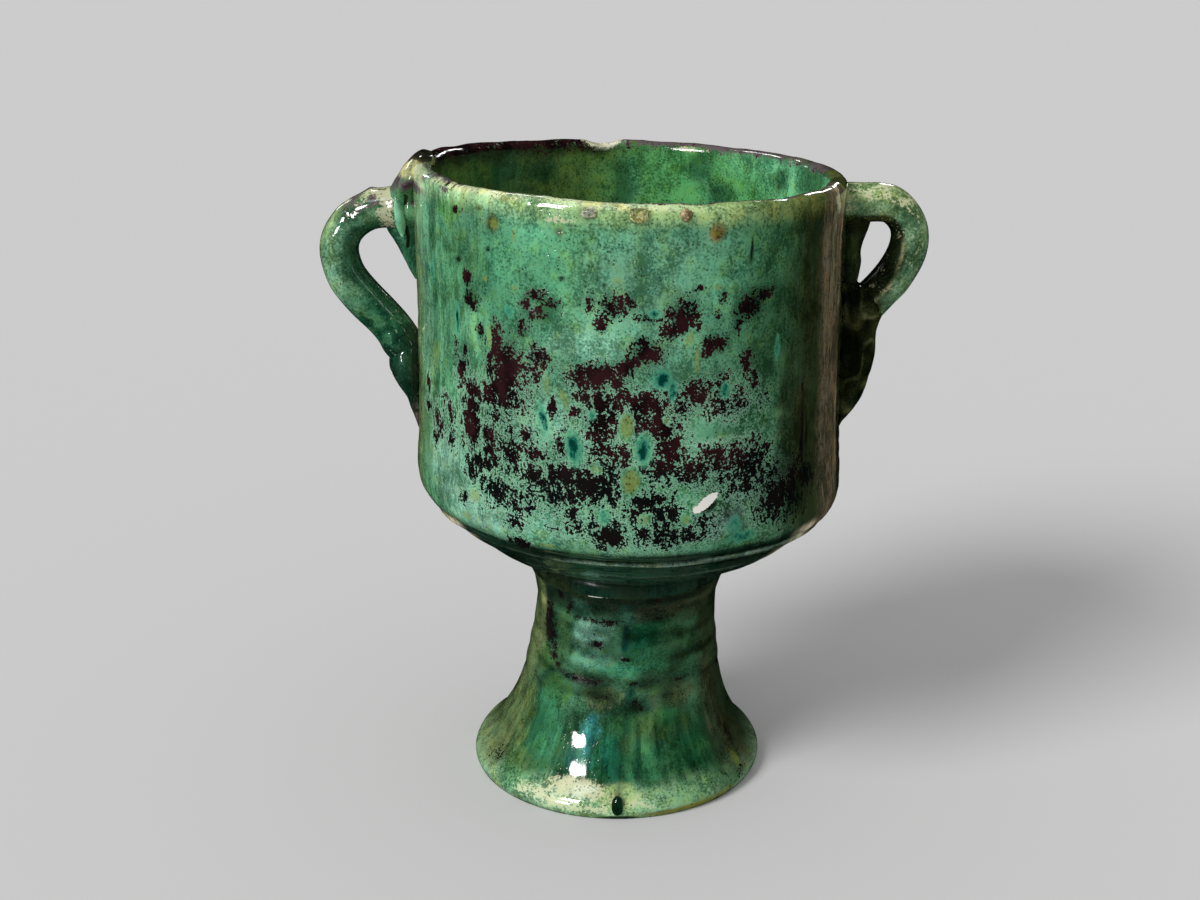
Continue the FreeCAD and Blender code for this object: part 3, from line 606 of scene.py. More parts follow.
def add_piece(name, node, material, points, paint, closed_rows=False):
    """A closed mesh from a grid of points, in rows of rings, in its place in the frame. Its last row
    joins the first with closed_rows, and else each end is capped by a middle point."""
    vertices = points.reshape(-1, 3)
    index = np.arange(len(vertices)).reshape(points.shape[:2])
    quads = grid_faces(index, closed_rows)
    faces = quads.tolist()
    if not closed_rows:
        for ring in (index[0][::-1], index[-1]):
            faces += cap_faces(ring, len(vertices))
            vertices = np.concatenate([vertices, vertices[ring].mean(axis=0)[None]])
    if points_inward(vertices, quads):
        faces = [face[::-1] for face in faces]
    mesh = bpy.data.meshes.new(name)
    mesh.from_pydata((vertices * MM).tolist(), [], faces)
    mesh.validate()
    mesh.shade_smooth()
    write_paint(mesh, paint)
    mesh.materials.append(material)
    piece = bpy.data.objects.new(name, mesh)
    bpy.context.scene.collection.objects.link(piece)
    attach(piece, "root")
    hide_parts(node)


class Paint:
    """Builds one material, node by node."""

    def __init__(self, name):
        self.material = bpy.data.materials.new(name)
        self.material.use_nodes = True
        self.tree = self.material.node_tree
        self.shader = self.tree.nodes["Principled BSDF"]
        self.place = None

    def node(self, kind, **settings):
        """A new node; settings are its own properties."""
        node = self.tree.nodes.new("ShaderNode" + kind)
        for title, value in settings.items():
            setattr(node, title, value)
        return node

    def put(self, socket, value):
        """Links a socket, or sets it to a number or a colour."""
        if isinstance(value, bpy.types.NodeSocket):
            self.tree.links.new(value, socket)
        else:
            socket.default_value = (*value, 1) if isinstance(value, np.ndarray) else value

    def number(self, title):
        """A value painted on the mesh."""
        return self.node("Attribute", attribute_name=title).outputs["Color" if title == "tint" else "Fac"]

    def noise(self, size, stretch=1, detail=2, roughness=0.5):
        """Noise with lumps of a size in millimetres, drawn out up and down by stretch."""
        mapping = self.node("Mapping", vector_type="POINT")
        mapping.inputs["Scale"].default_value = (1 / size, 1 / size, 1 / size / stretch)
        self.put(mapping.inputs["Vector"], self.place)
        node = self.node("TexNoise")
        node.inputs["Scale"].default_value = 1
        node.inputs["Detail"].default_value = detail
        node.inputs["Roughness"].default_value = roughness
        self.put(node.inputs["Vector"], mapping.outputs["Vector"])
        return node.outputs["Fac"]

    def cells(self, size):
        """Distance from the middle of the nearest cell, as a share of its size in millimetres."""
        node = self.node("TexVoronoi")
        node.inputs["Scale"].default_value = 1 / size
        self.put(node.inputs["Vector"], self.place)
        return node.outputs["Distance"]

    def math(self, operation, *values):
        node = self.node("Math", operation=operation)
        for socket, value in zip(node.inputs, values):
            self.put(socket, value)
        return node.outputs[0]

    def add(self, *values):
        total = values[0]
        for value in values[1:]:
            total = self.math("ADD", total, value)
        return total

    def times(self, first, second):
        return self.math("MULTIPLY", first, second)

    def spread(self, value, width):
        """Noise moved to lie round zero, times a width."""
        return self.times(self.math("SUBTRACT", value, 0.5), width)

    def step(self, value, low, high):
        """0 below low and 1 above high, smoothly; falls instead if low is the larger."""
        node = self.node("MapRange", interpolation_type="SMOOTHSTEP")
        ends = (1, 0) if low > high else (0, 1)
        for title, end in zip(("Value", "From Min", "From Max", "To Min", "To Max"),
                              (value, min(low, high), max(low, high), *ends)):
            self.put(node.inputs[title], end)
        return node.outputs["Result"]

    def between(self, share, first, second):
        """Two numbers mixed by a share."""
        node = self.node("Mix")
        for number, value in ((0, share), (2, first), (3, second)):
            self.put(node.inputs[number], value)
        return node.outputs[0]

    def mix(self, share, first, second, kind="MIX"):
        """Two colours mixed by a share."""
        node = self.node("Mix", data_type="RGBA", blend_type=kind)
        for number, value in ((0, share), (6, first), (7, second)):
            self.put(node.inputs[number], value)
        return node.outputs[2]


class Glaze(Paint):
    """The copper-green glaze: mottled, streaked and speckled, with manganese, pools and cream."""

    def __init__(self, name, roughness, gloss):
        super().__init__(name)
        # Where a point lies on the clay, in millimetres: the noise follows the form
        self.place = self.node("Attribute", attribute_name="wrap").outputs["Vector"]
        self.tint = self.number("tint")
        self.streak = self.number("streak")
        self.ragged = self.between(self.streak, self.noise(1.1, detail=3, roughness=0.65),
                                   self.noise(1.3, stretch=3.5, detail=3, roughness=0.6))
        self.clump = self.between(self.streak, self.noise(3.2, stretch=1.3, detail=3, roughness=0.7),
                                  self.noise(2.8, stretch=3.5, detail=3, roughness=0.65))
        self.cloud = self.noise(9, stretch=1.6, detail=3)
        self.wide = self.noise(26, detail=2)
        # Noise that breaks the edges of what is painted on the mesh
        self.edge = self.add(self.spread(self.ragged, 9.5), self.spread(self.clump, 8.0),
                             self.spread(self.cloud, 2.0))
        self.lay_base()
        self.lay_runs()
        self.lay_manganese()
        self.lay_pools()
        self.lay_cream_and_flakes()
        self.lay_specks()
        self.put(self.shader.inputs["Base Color"], self.colour)
        self.set_surface(roughness, gloss)

    def coat(self, share, strength, colour):
        """Lays a colour over what is there, by a share of the surface and a strength."""
        if strength < 1:
            share = self.times(share, strength)
        self.colour = self.mix(share, self.colour, colour)

    def painted(self, title, noise, low, high):
        """Where a mark painted on the mesh shows, with its edge broken by noise."""
        return self.step(self.add(self.number(title), noise), low, high)

    def lay_base(self):
        """The painted tint, lighter and darker, yellower and bluer."""
        tone = self.add(self.spread(self.ragged, 2.8), self.spread(self.clump, 1.6),
                        self.spread(self.cloud, 1.8), self.spread(self.wide, 1.6), 0.5)
        light = self.mix(1.0, self.tint, (1.5, 1.42, 1.42, 1), "MULTIPLY")
        dark = self.mix(1.0, self.tint, (0.34, 0.42, 0.38, 1), "MULTIPLY")
        self.colour = self.mix(self.step(tone, -0.1, 1.05), dark, light)
        hue = self.noise(6, detail=3)
        for low, high, change in ((0.5, 0.68, (1.12, 1.02, 0.8, 1)), (0.48, 0.32, (0.88, 1.0, 1.03, 1))):
            self.coat(self.step(hue, low, high), 1, self.mix(1.0, self.colour, change, "MULTIPLY"))

    def lay_runs(self):
        """Runs of thicker green glaze, and olive spots."""
        runs = self.add(self.noise(3.4, stretch=12, detail=3), self.spread(self.wide, 0.6),
                        self.spread(self.cloud, 0.4))
        self.coat(self.times(self.step(runs, 0.5, 0.66), self.streak), 0.8, DEEP)
        self.coat(self.painted("olive", self.spread(self.ragged, 2.0), -0.3, 0.9), 0.6, OLIVE)

    def lay_manganese(self):
        """Brown-black patches inside a paler halo, blacker where they are burnt."""
        field = self.add(self.number("brown"), self.edge)
        self.coat(self.times(self.step(field, -1.6, -0.2), self.number("halo")), 0.6, PALE)
        self.brown = self.step(field, -0.15, 0.25)
        manganese = self.mix(self.step(self.cloud, 0.38, 0.62), glaze_colour(20, 10, 12),
                             glaze_colour(46, 22, 24))
        burnt = self.times(self.number("burnt"), 0.8)
        self.coat(self.brown, 1, self.mix(burnt, manganese, glaze_colour(8, 14, 14)))

    def lay_pools(self):
        """Turquoise pools, deepest in the middle."""
        field = self.add(self.number("pool"), self.spread(self.clump, 4.0), self.spread(self.ragged, 1.2))
        for low, high, strength, colour in ((-1.4, 0.2, 0.5, glaze_colour(84, 178, 142)),
                                            (-0.3, 0.8, 0.95, TURQUOISE),
                                            (0.4, 1.0, 0.8, glaze_colour(2, 42, 36))):
            self.coat(self.step(field, low, high), strength, colour)

    def lay_cream_and_flakes(self):
        """Thin rust and pale glaze, dark spots and pits together with painted shade, and bare clay where the
        glaze has flaked.
        """
        thin = self.mix(self.step(self.clump, 0.5, 0.7), PURPLE, MAROON * 1.6)
        self.coat(self.painted("rust", self.edge, -0.25, 0.3), 1, thin)
        self.cream = self.painted("cream", self.edge, -0.5, 0.6)
        self.coat(self.cream, 0.85, self.mix(0.3, CREAM, self.tint))
        # The shade mark paints both the glaze's dark spots and pits and painted shade in creases, under the
        # flake and on faces turned from the light.
        self.coat(self.painted("shade", self.spread(self.ragged, 1.6), -0.4, 0.7), 0.93, BLACK_GREEN)
        self.flake = self.painted("flake", self.spread(self.ragged, 1.5), -0.1, 0.1)
        self.coat(self.flake, 1, CLAY)

    def lay_specks(self):
        """Black specks, in flocks."""
        flocks = self.step(self.noise(3.5, detail=3), 0.46, 0.56)
        specks = self.times(self.step(self.cells(1.7), 0.32, 0.16), flocks)
        self.specks = self.times(specks, self.math("SUBTRACT", 1.0, self.flake))
        self.coat(self.specks, 0.75, glaze_colour(14, 26, 18))

    def set_surface(self, roughness, gloss):
        """Gloss and the feel of the surface."""
        rough = self.add(roughness, self.times(self.brown, 0.06), self.times(self.flake, 0.5),
                         self.times(self.cream, 0.06), self.spread(self.cloud, 0.1))
        self.put(self.shader.inputs["Roughness"], rough)
        self.shader.inputs["IOR"].default_value = 1.5
        self.shader.inputs["Specular IOR Level"].default_value = gloss
        bump = self.node("Bump")
        bump.inputs["Strength"].default_value = 0.6
        bump.inputs["Distance"].default_value = 0.4 * MM
        height = self.add(self.spread(self.noise(2.6, detail=1), 0.06), self.times(self.brown, 0.1),
                          self.spread(self.noise(9, detail=1), 0.6), self.times(self.specks, -0.1),
                          self.times(self.flake, -1.0))
        self.put(bump.inputs["Height"], height)
        self.put(self.shader.inputs["Normal"], bump.outputs["Normal"])


def wall_tint(turn, around, points, cloud, small_cloud):
    """The wall in clouds of mint and green, with its washes, olive beside both handles: darker on the right,
    partly glaze and partly painted shade, and a pale strip of painted reflection on the left.
    """
    tint = blend(WALL, MINT, soft(0.5 + 0.8 * cloud, 0, 1))
    tint = blend(tint, AQUA, 0.5 * soft(lumps(points, 44, 22), 0.0, 0.6))
    tint = blend(tint, LEAF * 0.8, 0.5 * soft(around, 10, 34))
    tint = washes(tint, turn, points[..., 2], WALL_WASHES)
    tint = tint * (1 + 0.3 * small_cloud)[..., None]
    # Darker olive by the right handle: partly the glaze, partly painted shade on the side away from the key
    # light.
    tint = coat(tint, (42, 46, 22), 0.95 * soft(around, 36, 50) * soft(150 - around, 0, 50))
    # A pale olive strip down the wall's left edge by the left handle: a painted reflection.
    left_edge_reflection = soft(-around, 66, 76) * soft(120 + around, 0, 20)
    return blend(tint, MOSS * 0.6 + LIME * 0.5, 0.7 * left_edge_reflection)


def lip_tint(tint, around, along, points, small_cloud, outside):
    """The band of yellow-green under the lip, and the near lip's top on the left painted paler, a painted
    highlight where it catches the light.
    """
    height = points[..., 2] + RIM_SLOPE * points[..., 0] + 2 * small_cloud
    band = between((170, 212, 160), (160, 192, 130), soft(around, -60, 0))
    band = coat(band, (108, 118, 62), soft(around, 16, 50))
    tint = blend(tint, band, 0.85 * soft(height, RIM_Z - 12, RIM_Z - 4) * outside)
    # The near lip's top on the left: painted light, paler where it catches the light.
    top = soft(-around, -24, 0) * soft(62 + around, 0, 8) * soft(along + 7 + 2 * small_cloud, 0, 2.5)
    return coat(tint, (198, 210, 166), 0.85 * top * outside)


def bevel_tint(tint, around, z, small_cloud, outside, bevel):
    """The dark bevel with its turned lines, some of them painted highlight and shade, and a cream line of
    painted sheen where it turns away on both sides.
    """
    tint = blend(tint, glaze_colour(24, 38, 31) + 0.012 * small_cloud[..., None], 0.93 * bevel)
    # The turned lines, with a painted highlight on the ridge and painted shade in its grooves
    for line_z, half, strength, colour in BEVEL_LINES:
        tint = coat(tint, colour, strength * bell(z + 0.5 * small_cloud, line_z, half) * outside)
    # A cream line where the bevel turns away from view on both sides: a painted sheen.
    from_front = np.abs(around + 3)
    silhouette_sheen = soft(from_front, 48, 58) * soft(82 - from_front, 0, 12)
    return coat(tint, (246, 236, 200), 0.9 * bevel * silhouette_sheen * soft(z, 113, 119))


def inner_tint(angle, along, cloud, small_cloud):
    """The inner wall: olive on the left, bright green on the right, dark under the rim's left."""
    right = np.sin(angle)
    tint = between((76, 140, 84), (70, 94, 46), soft(-right, -0.3, 0.4))
    tint = coat(tint, (110, 186, 140), 0.8 * soft(right + 0.3 * cloud, 0.5, 0.85))
    glints = soft(cloud + 0.5 * small_cloud, 0.2, 0.7) * soft(right, -0.1, 0.2)
    tint = coat(tint, (110, 186, 150), 0.6 * glints)
    tint = coat(tint, (16, 56, 32), 0.75 * soft(small_cloud - 0.3 * cloud, 0.1, 0.6))
    tint = tint * (1.32 - 0.2 * soft(right, 0.2, 0.8))[..., None]
    under_rim = soft(16 - along + 5 * small_cloud, 0, 9)
    return coat(tint, (46, 44, 24), 0.8 * soft(-right, -0.05, 0.15) * under_rim)


def rim_fields(turn, around, angle, along, points):
    """Rust on the near lip and round the far lip's right, and manganese round the far lip's left."""
    noise = lumps(points, 12, 23)
    is_far = soft(-np.cos(angle), -0.2, 0.2)
    rust = 0.9 + hump(along, 1.2, 1.9) + 0.7 * noise - 7 * is_far
    rust = rust - 1.2 * soft(-around, 30, 40) * soft(56 + around, 0, 6) - soft(around, 55, 65)
    rust = np.maximum(rust, marks(turn, along, LIP_RUST))
    to_left = 1 - soft(np.sin(angle), -0.14, -0.1)
    far = 0.9 + 0.4 * to_left + hump(along, 1.6, 4.4 + 1.6 * to_left) + 0.8 * noise - 7 * (1 - is_far)
    return np.maximum(rust, far - 3 * to_left), far - 3 * (1 - to_left)


def brown_field(turn, z, pool, olive, far_rim, is_inside):
    """Manganese on the wall, kept off its pools and olive spots, and round the far rim."""
    field = patches(turn, z, BROWN_PATCHES, 1.5 + 0.9 * soft(z, 196, 236))
    field = np.where(is_inside, -7.0, field)
    for spots in (pool, olive):
        field = field - 2.5 * soft(spots, -0.8, 0.3)
    return np.maximum(field, far_rim)


def dark_field(turn, around, z, along, inside):
    """Dark spots on the wall and the lip, the painted shadow below the flake, and painted shade along the
    wall's right edge, past the streaked stripe of painted reflection.
    """
    field = np.maximum(marks(turn, z, DARK_SPOTS), marks(turn, z, FLAKE_SHADE))
    field = np.where(inside > 0.5, -1.5, field)
    field = np.maximum(field, marks(turn, along, LIP_PITS))
    # Painted shade along the wall's right edge, just past the painted reflection stripe.
    return np.maximum(field, -0.7 + 0.6 * soft(around, 71, 74) * soft(110 - around, 0, 10) - 3 * inside)


def bowl_paint(turn, along, points):
    """The bowl's colours and marks, point by point."""
    around = centred(turn)
    angle = np.radians(turn)
    z = points[..., 2]
    cloud = lumps(points, 34, 21)
    small_cloud = lumps(points, 13, 24)
    inside = soft(along, 2, 7)
    outside = 1 - inside
    bevel = soft(149 - z + 1.5 * small_cloud, 0, 4) * outside
    tint = wall_tint(turn, around, points, cloud, small_cloud)
    tint = lip_tint(tint, around, along, points, small_cloud, outside)
    tint = bevel_tint(tint, around, z, small_cloud, outside, bevel)
    # A painted reflection by the right handle: a stripe of streaked brown, with a pale line along it that is
    # a painted highlight
    wander = around + 0.8 * lumps(np.stack([0 * z, 0 * z, z], axis=-1), 14, 25)
    reflection_stripe = soft(wander, 54, 60) * soft(71 - wander, 0, 1.5) * outside
    tint = coat(tint, (116, 104, 84), 0.85 * reflection_stripe)
    reflection_line = bell(wander, 70.5, 0.8) * outside * (1 - bevel)
    tint = coat(tint, (190, 160, 122), 0.75 * reflection_line * soft(lumps(points, 12, 26), -0.6, 0.2))
    tint = blend(tint, inner_tint(angle, along, cloud, small_cloud), inside)
    # Bare clay in the chip
    chip_half = np.degrees(CHIP_WIDTH / 2 / WALL_RADIUS)
    chip = 1.2 + hump(centred(turn - CHIP_TURN), 0, chip_half) + hump(along, 0, 7)
    tint = coat(tint, (240, 236, 220), soft(chip, -0.2, 0.2))
    rust, far_rim = rim_fields(turn, around, angle, along, points)
    pool, olive, flake = (np.where(inside > 0.5, -4.0, marks(turn, z, table))
                          for table in (POOLS, OLIVE_SPOTS, FLAKE))
    brown = brown_field(turn, z, pool, olive, far_rim, inside > 0.5)
    streak = (0.45 * soft(-around, 28, 46) + 0.4 * soft(around, 30, 46)) * outside + 0.3 * reflection_stripe
    halo = soft(240 - z, 0, 30) * outside * (1 - bevel) * soft(brown, -2.6, -1.0) * soft(46 - around, 0, 20)
    burnt = soft(194 - z + 6 * cloud, 0, 14) * outside + 0.6 * soft(around, 26, 34)
    return {"wrap": round_axis(turn, WALL_RADIUS, along), "tint": tint, "brown": brown, "pool": pool,
            "olive": olive, "flake": flake, "streak": np.clip(streak, 0.1, 1), "halo": halo,
            "burnt": np.clip(burnt, 0, 1), "rust": np.where(chip > 0, -1.5, rust),
            "cream": np.maximum(marks(turn, along, LIP_CREAM), 3 * chip),
            "shade": dark_field(turn, around, z, along, inside)}


def make_bowl(material):
    # The front is meshed more finely than the back
    turn = np.concatenate([np.linspace(start, end, count, endpoint=False)
                           for start, end, count in ((-92, 92, 230), (92, 268, 110))])
    turn, along = np.broadcast_arrays(turn[None, :], BOWL_LENGTH[1:-1, None])
    points = bowl_points(turn, along)
    add_piece("bowl_body", "bowl", material, points, bowl_paint(turn, along, points))


def pedestal_side(inset):
    """Points up the pedestal's side, set in by a wall."""
    points = [(WAIST_RADIUS + out * (FOOT_RADIUS - WAIST_RADIUS) - inset, up * PEDESTAL_HEIGHT)
              for out, up in FLARE_SHARES]
    return points + [(HEAD_RADIUS - inset, PEDESTAL_HEIGHT)]


def flare_tint(around, points, cloud, drips):
    """The pedestal's ground: dull green, dark under the bowl, pale along the foot, and darker olive on the
    right, partly glaze and partly painted shade.
    """
    z = points[..., 2]
    tint = between((48, 86, 60), (66, 112, 84), soft(0.4 + cloud, 0, 1))
    tint = coat(tint, (28, 36, 28), 0.85 * soft(z + 3 * cloud, 88, 98))
    tint = coat(tint, (48, 98, 60), 0.6 * soft(46 - z, 0, 12))
    tint = coat(tint, (134, 172, 134), 0.85 * soft(17 - z + 4 * cloud + 3 * drips, 0, 9))
    tint = washes(tint, around, z, STEM_WASHES, STEM_RADIUS)
    tint = coat(tint, (8, 52, 36), 0.7 * soft(drips, 0.1, 0.7) * soft(48 - z, 0, 12) * soft(z, 10, 20))
    # Darker olive up the right side: partly the glaze, partly painted shade away from the key light.
    tint = coat(tint, (50, 58, 38), 0.8 * soft(around, 38, 60) * soft(z, 1, 14))
    return coat(tint, (100, 116, 74), 0.75 * soft(-around, 54, 72) * soft(z, 1, 12))


def brushed_bands(tint, around, points):
    """Darker and lighter bands round the stem, as the wheel left them, and mottling on the flare."""
    z = points[..., 2]
    on_stem = soft(z, 38, 52)
    climb = z + around / 24
    ridges = np.cos(2 * math.pi * climb / 11) + 0.6 * np.cos(2 * math.pi * climb / 6.3 + 1)
    band_noise = lumps(points * np.array([0.2, 0.2, 1]), 3.5, 36)
    tint = tint * (1 + (0.12 * ridges + 0.5 * band_noise) * on_stem)[..., None]
    flat = points * np.array([1, 1, 0.7])
    mottle = layered(flat, 39, (0.3, 8), (0.3, 3.4))
    tint = tint * (1 + mottle * soft(52 - z, 0, 12) * soft(z, 8, 18))[..., None]
    return coat(tint, (30, 44, 30), 0.6 * soft(lumps(points, 12, 37), 0.1, 0.6) * on_stem)


def pedestal_paint(turn, points, inside):
    """Dark under the bowl, green runs down the flare, cream along the foot."""
    around = centred(turn)
    z = points[..., 2]
    drips = lumps(round_axis(turn, WRAP_RADIUS, z / 6), 3.2, 38)
    tint = flare_tint(around, points, lumps(points, 18, 34), drips)
    tint = blend(brushed_bands(tint, around, points), SHADOW_OLIVE, inside)
    fields = {title: np.where(inside > 0.5, -4.0, marks(turn, z, table, STEM_RADIUS)) for title, table in (
        ("shade", STEM_SHADE), ("olive", STEM_OLIVE), ("cream", STEM_CREAM))}
    brown = np.where(inside > 0.5, -7.0, patches(turn, z, STEM_BROWN, 1.8, STEM_RADIUS))
    streak = 0.1 + 0.35 * soft(50 - z, 0, 18) - 0.35 * soft(16 - z, 0, 5)
    return plain_paint(points, tint, streak=np.clip(streak, 0, 1), brown=brown, rust=-4.0, flake=-4.0,
                       burnt=0.75, **fields)


# How many rows of the pedestal's profile lie on its outside
PEDESTAL_OUTER_ROWS = 128


def pedestal_profile():
    """Radius and height round the pedestal's wall: up its outside, over its head, down its bore."""
    outside = pedestal_side(0)
    inside = pedestal_side(PEDESTAL_WALL)
    bore = (TREAD_RADIUS - RING_WIDTH, 0)
    return joined(
        smooth([(TREAD_RADIUS, 0), (FOOT_RADIUS, FOOT_EDGE_HEIGHT / 2), outside[0]], 10),
        smooth(outside, 120),
        np.linspace(outside[-1], inside[-1], 8),
        smooth([bore] + inside, 70)[::-1],
        np.linspace(bore, (TREAD_RADIUS, 0), 8))[:-1]


def make_pedestal(material):
    profile = pedestal_profile()
    turn = np.linspace(0, 360, 300, endpoint=False)[None, :]
    normals = profile_normals(profile)
    radius, z, turn = np.broadcast_arrays(profile[:, :1], profile[:, 1:], turn)
    spot = round_axis(turn, radius, z)
    push = layered(spot, 31, (0.03, 5), (0.08, 16), (0.35, 45)) - 0.3
    climb = 2.0 * np.sin(np.radians(turn) + 0.6)
    for ridge_z, out, half in STEM_RIDGES:
        push = push + out * bell(z - climb, ridge_z, half)
    is_outside = np.arange(len(profile))[:, None] < PEDESTAL_OUTER_ROWS
    push = push * soft(z, 0.5, 6) * soft(PEDESTAL_HEIGHT - z, 0.2, 4) * np.where(is_outside, 1, 0.4)
    radius = radius + normals[:, :1] * push
    z = np.maximum(z + normals[:, 1:] * push * soft(z, 2, 8), 0)
    points = round_axis(turn, radius, z)
    points[..., 0] += FOOT_X + STEM_LEAN / PEDESTAL_HEIGHT * z
    paint = pedestal_paint(turn, points, np.where(is_outside, 0, 1) + 0 * turn)
    # The glaze is brushed round the stem, and runs down the flare
    up_the_side = run_length(profile)[:, None] + 1.2 * np.maximum(z - 52, 0)
    paint["wrap"] = round_axis(turn, WRAP_RADIUS, up_the_side)
    add_piece("pedestal_body", "pedestal", material, points, paint, closed_rows=True)


def collar_profile():
    """Radius and height round the collar: up its swelling outside, over its top, down its bore."""
    top = (BASE_RADIUS - 0.5, COLLAR_HEIGHT)
    bottom = (HEAD_RADIUS - 0.2, -COLLAR_OVERLAP)
    swell = (HEAD_RADIUS + COLLAR_SWELL, COLLAR_HEIGHT / 2 - 1)
    bore_top = (BORE_RADIUS, COLLAR_HEIGHT)
    bore_foot = (BORE_RADIUS, -COLLAR_OVERLAP)
    return joined(
        smooth([bottom, swell, (BASE_RADIUS, COLLAR_HEIGHT - 1), top], 16),
        np.linspace(top, bore_top, 6),
        np.linspace(bore_top, bore_foot, 6),
        np.linspace(bore_foot, bottom, 6))[:-1]


def make_collar(material):
    profile = collar_profile()
    turn = np.linspace(0, 360, 200, endpoint=False)[None, :]
    radius, z, turn = np.broadcast_arrays(profile[:, :1], profile[:, 1:], turn)
    spot = round_axis(turn, radius, z)
    is_outer = radius > HEAD_RADIUS - 1
    radius = radius + is_outer * (layered(spot, 41, (0.25, 9), (0.12, 4)) - 0.25)
    points = round_axis(turn, radius, z + PEDESTAL_HEIGHT)
    points[..., 2] -= RIM_SLOPE * points[..., 0] * soft(z, 0, COLLAR_HEIGHT)
    wrap = round_axis(turn, WRAP_RADIUS, points[..., 2])
    points[..., 0] += BOWL_X
    tint = between((22, 56, 44), (40, 52, 34), soft(lumps(points, 18, 43), -0.5, 0.7))
    paint = plain_paint(points, tint, streak=0.3, brown=-3.0, cream=-4.0, rust=-2.5, pool=-4.0, olive=-4.0,
                        shade=-0.4, flake=-4.0)
    paint["wrap"] = wrap
    add_piece("collar_ring", "neck_collar", material, points, paint, closed_rows=True)


def handle_line(line_shares, reach, thickness, arm_depth, drop, count):
    """Points down a handle's centre line: distance from the bowl's axis, height, thickness."""
    knots = [(WALL_RADIUS + out * (reach - thickness / 2), RIM_Z - arm_depth - down * drop, thick * thickness)
             for out, down, thick in line_shares]
    return smooth(knots, count)


def by_the_wall(out, front, z, turn):
    """Points given by distance from the bowl's axis, place toward the front, and height, at a turn."""
    angle = math.radians(turn)
    side = -math.copysign(1, turn)
    x = out * math.sin(angle) + front * side * math.cos(angle)
    y = -out * math.cos(angle) + front * side * math.sin(angle)
    return np.stack(np.broadcast_arrays(BOWL_X + x, y, z), axis=-1)


def make_handle(name, node, turn, line, width, seed, swell, colours, material):
    """A pulled coil bent to a loop: ovals that are a little squared, with the potter's dents."""
    ahead = np.gradient(line[:, :2], axis=0)
    ahead /= np.linalg.norm(ahead, axis=1)[:, None]
    # The normal points out of the loop
    normal_out, normal_up = -ahead[:, 1:], ahead[:, :1]
    angle = np.linspace(0, 2 * math.pi, 80, endpoint=False)[None, :]
    squared = 1 + 0.035 * np.sin(2 * angle) ** 2
    across = squared * np.cos(angle)
    front = squared * np.sin(angle)
    share = np.linspace(0, 1, len(line))[:, None]
    # Both ends are rounded off
    length = run_length(line[:, :2])[-1]
    to_end = np.minimum(share, 1 - share) * length / 9
    rounding = np.sqrt(np.clip(1 - (1 - np.minimum(to_end, 1)) ** 2, 0.02, 1))
    half_thick = line[:, 2:3] / 2 * rounding
    half_wide = width / 2 * rounding
    plain = np.stack([line[:, :1] + normal_out * across * half_thick, front * half_wide,
                      line[:, 1:2] + normal_up * across * half_thick], axis=-1)
    push = layered(plain, seed, (0.5, 15), (0.06, 6), (0.015, 3)) - 0.45
    wrap = np.stack(np.broadcast_arrays(half_thick * across, half_wide * front, share * length), axis=-1)
    share, angle, across, front = np.broadcast_arrays(share, np.degrees(angle), across, front)
    scale = 1 + (push + swell(share, angle)) / (width / 2)
    out = line[:, :1] + normal_out * across * half_thick * scale
    z = line[:, 1:2] + normal_up * across * half_thick * scale
    points = by_the_wall(out, front * half_wide * scale, z, turn)
    paint = colours(points, share, across, front)
    paint["wrap"] = wrap
    add_piece(name, node, material, points, paint)


def bumps_on(share, angle, table):
    """How far a table's swellings push a coil out."""
    return sum(height * bell(share, bump_share, half_share) * bell(centred(angle - bump_angle), 0, half_angle)
               for bump_share, bump_angle, half_share, half_angle, height in table)


def left_swell(share, angle):
    return bumps_on(share, angle, LEFT_BUMPS)


def right_ridge(share, angle, half_angle, start, end):
    """The sharp ridge along the front of the right bend, from 0 to 1 on it."""
    ridge_angle = 120 - 25 * soft(share, 0.45, 0.75)
    return bell(angle, ridge_angle, half_angle) * soft(share, *start) * soft(end - share, 0, 0.1)


def right_swell(share, angle):
    """Dents, and the sharp ridge along the front of the bend."""
    return bumps_on(share, angle, RIGHT_BUMPS) + right_ridge(share, angle, 11, (0.36, 0.46), 0.95)


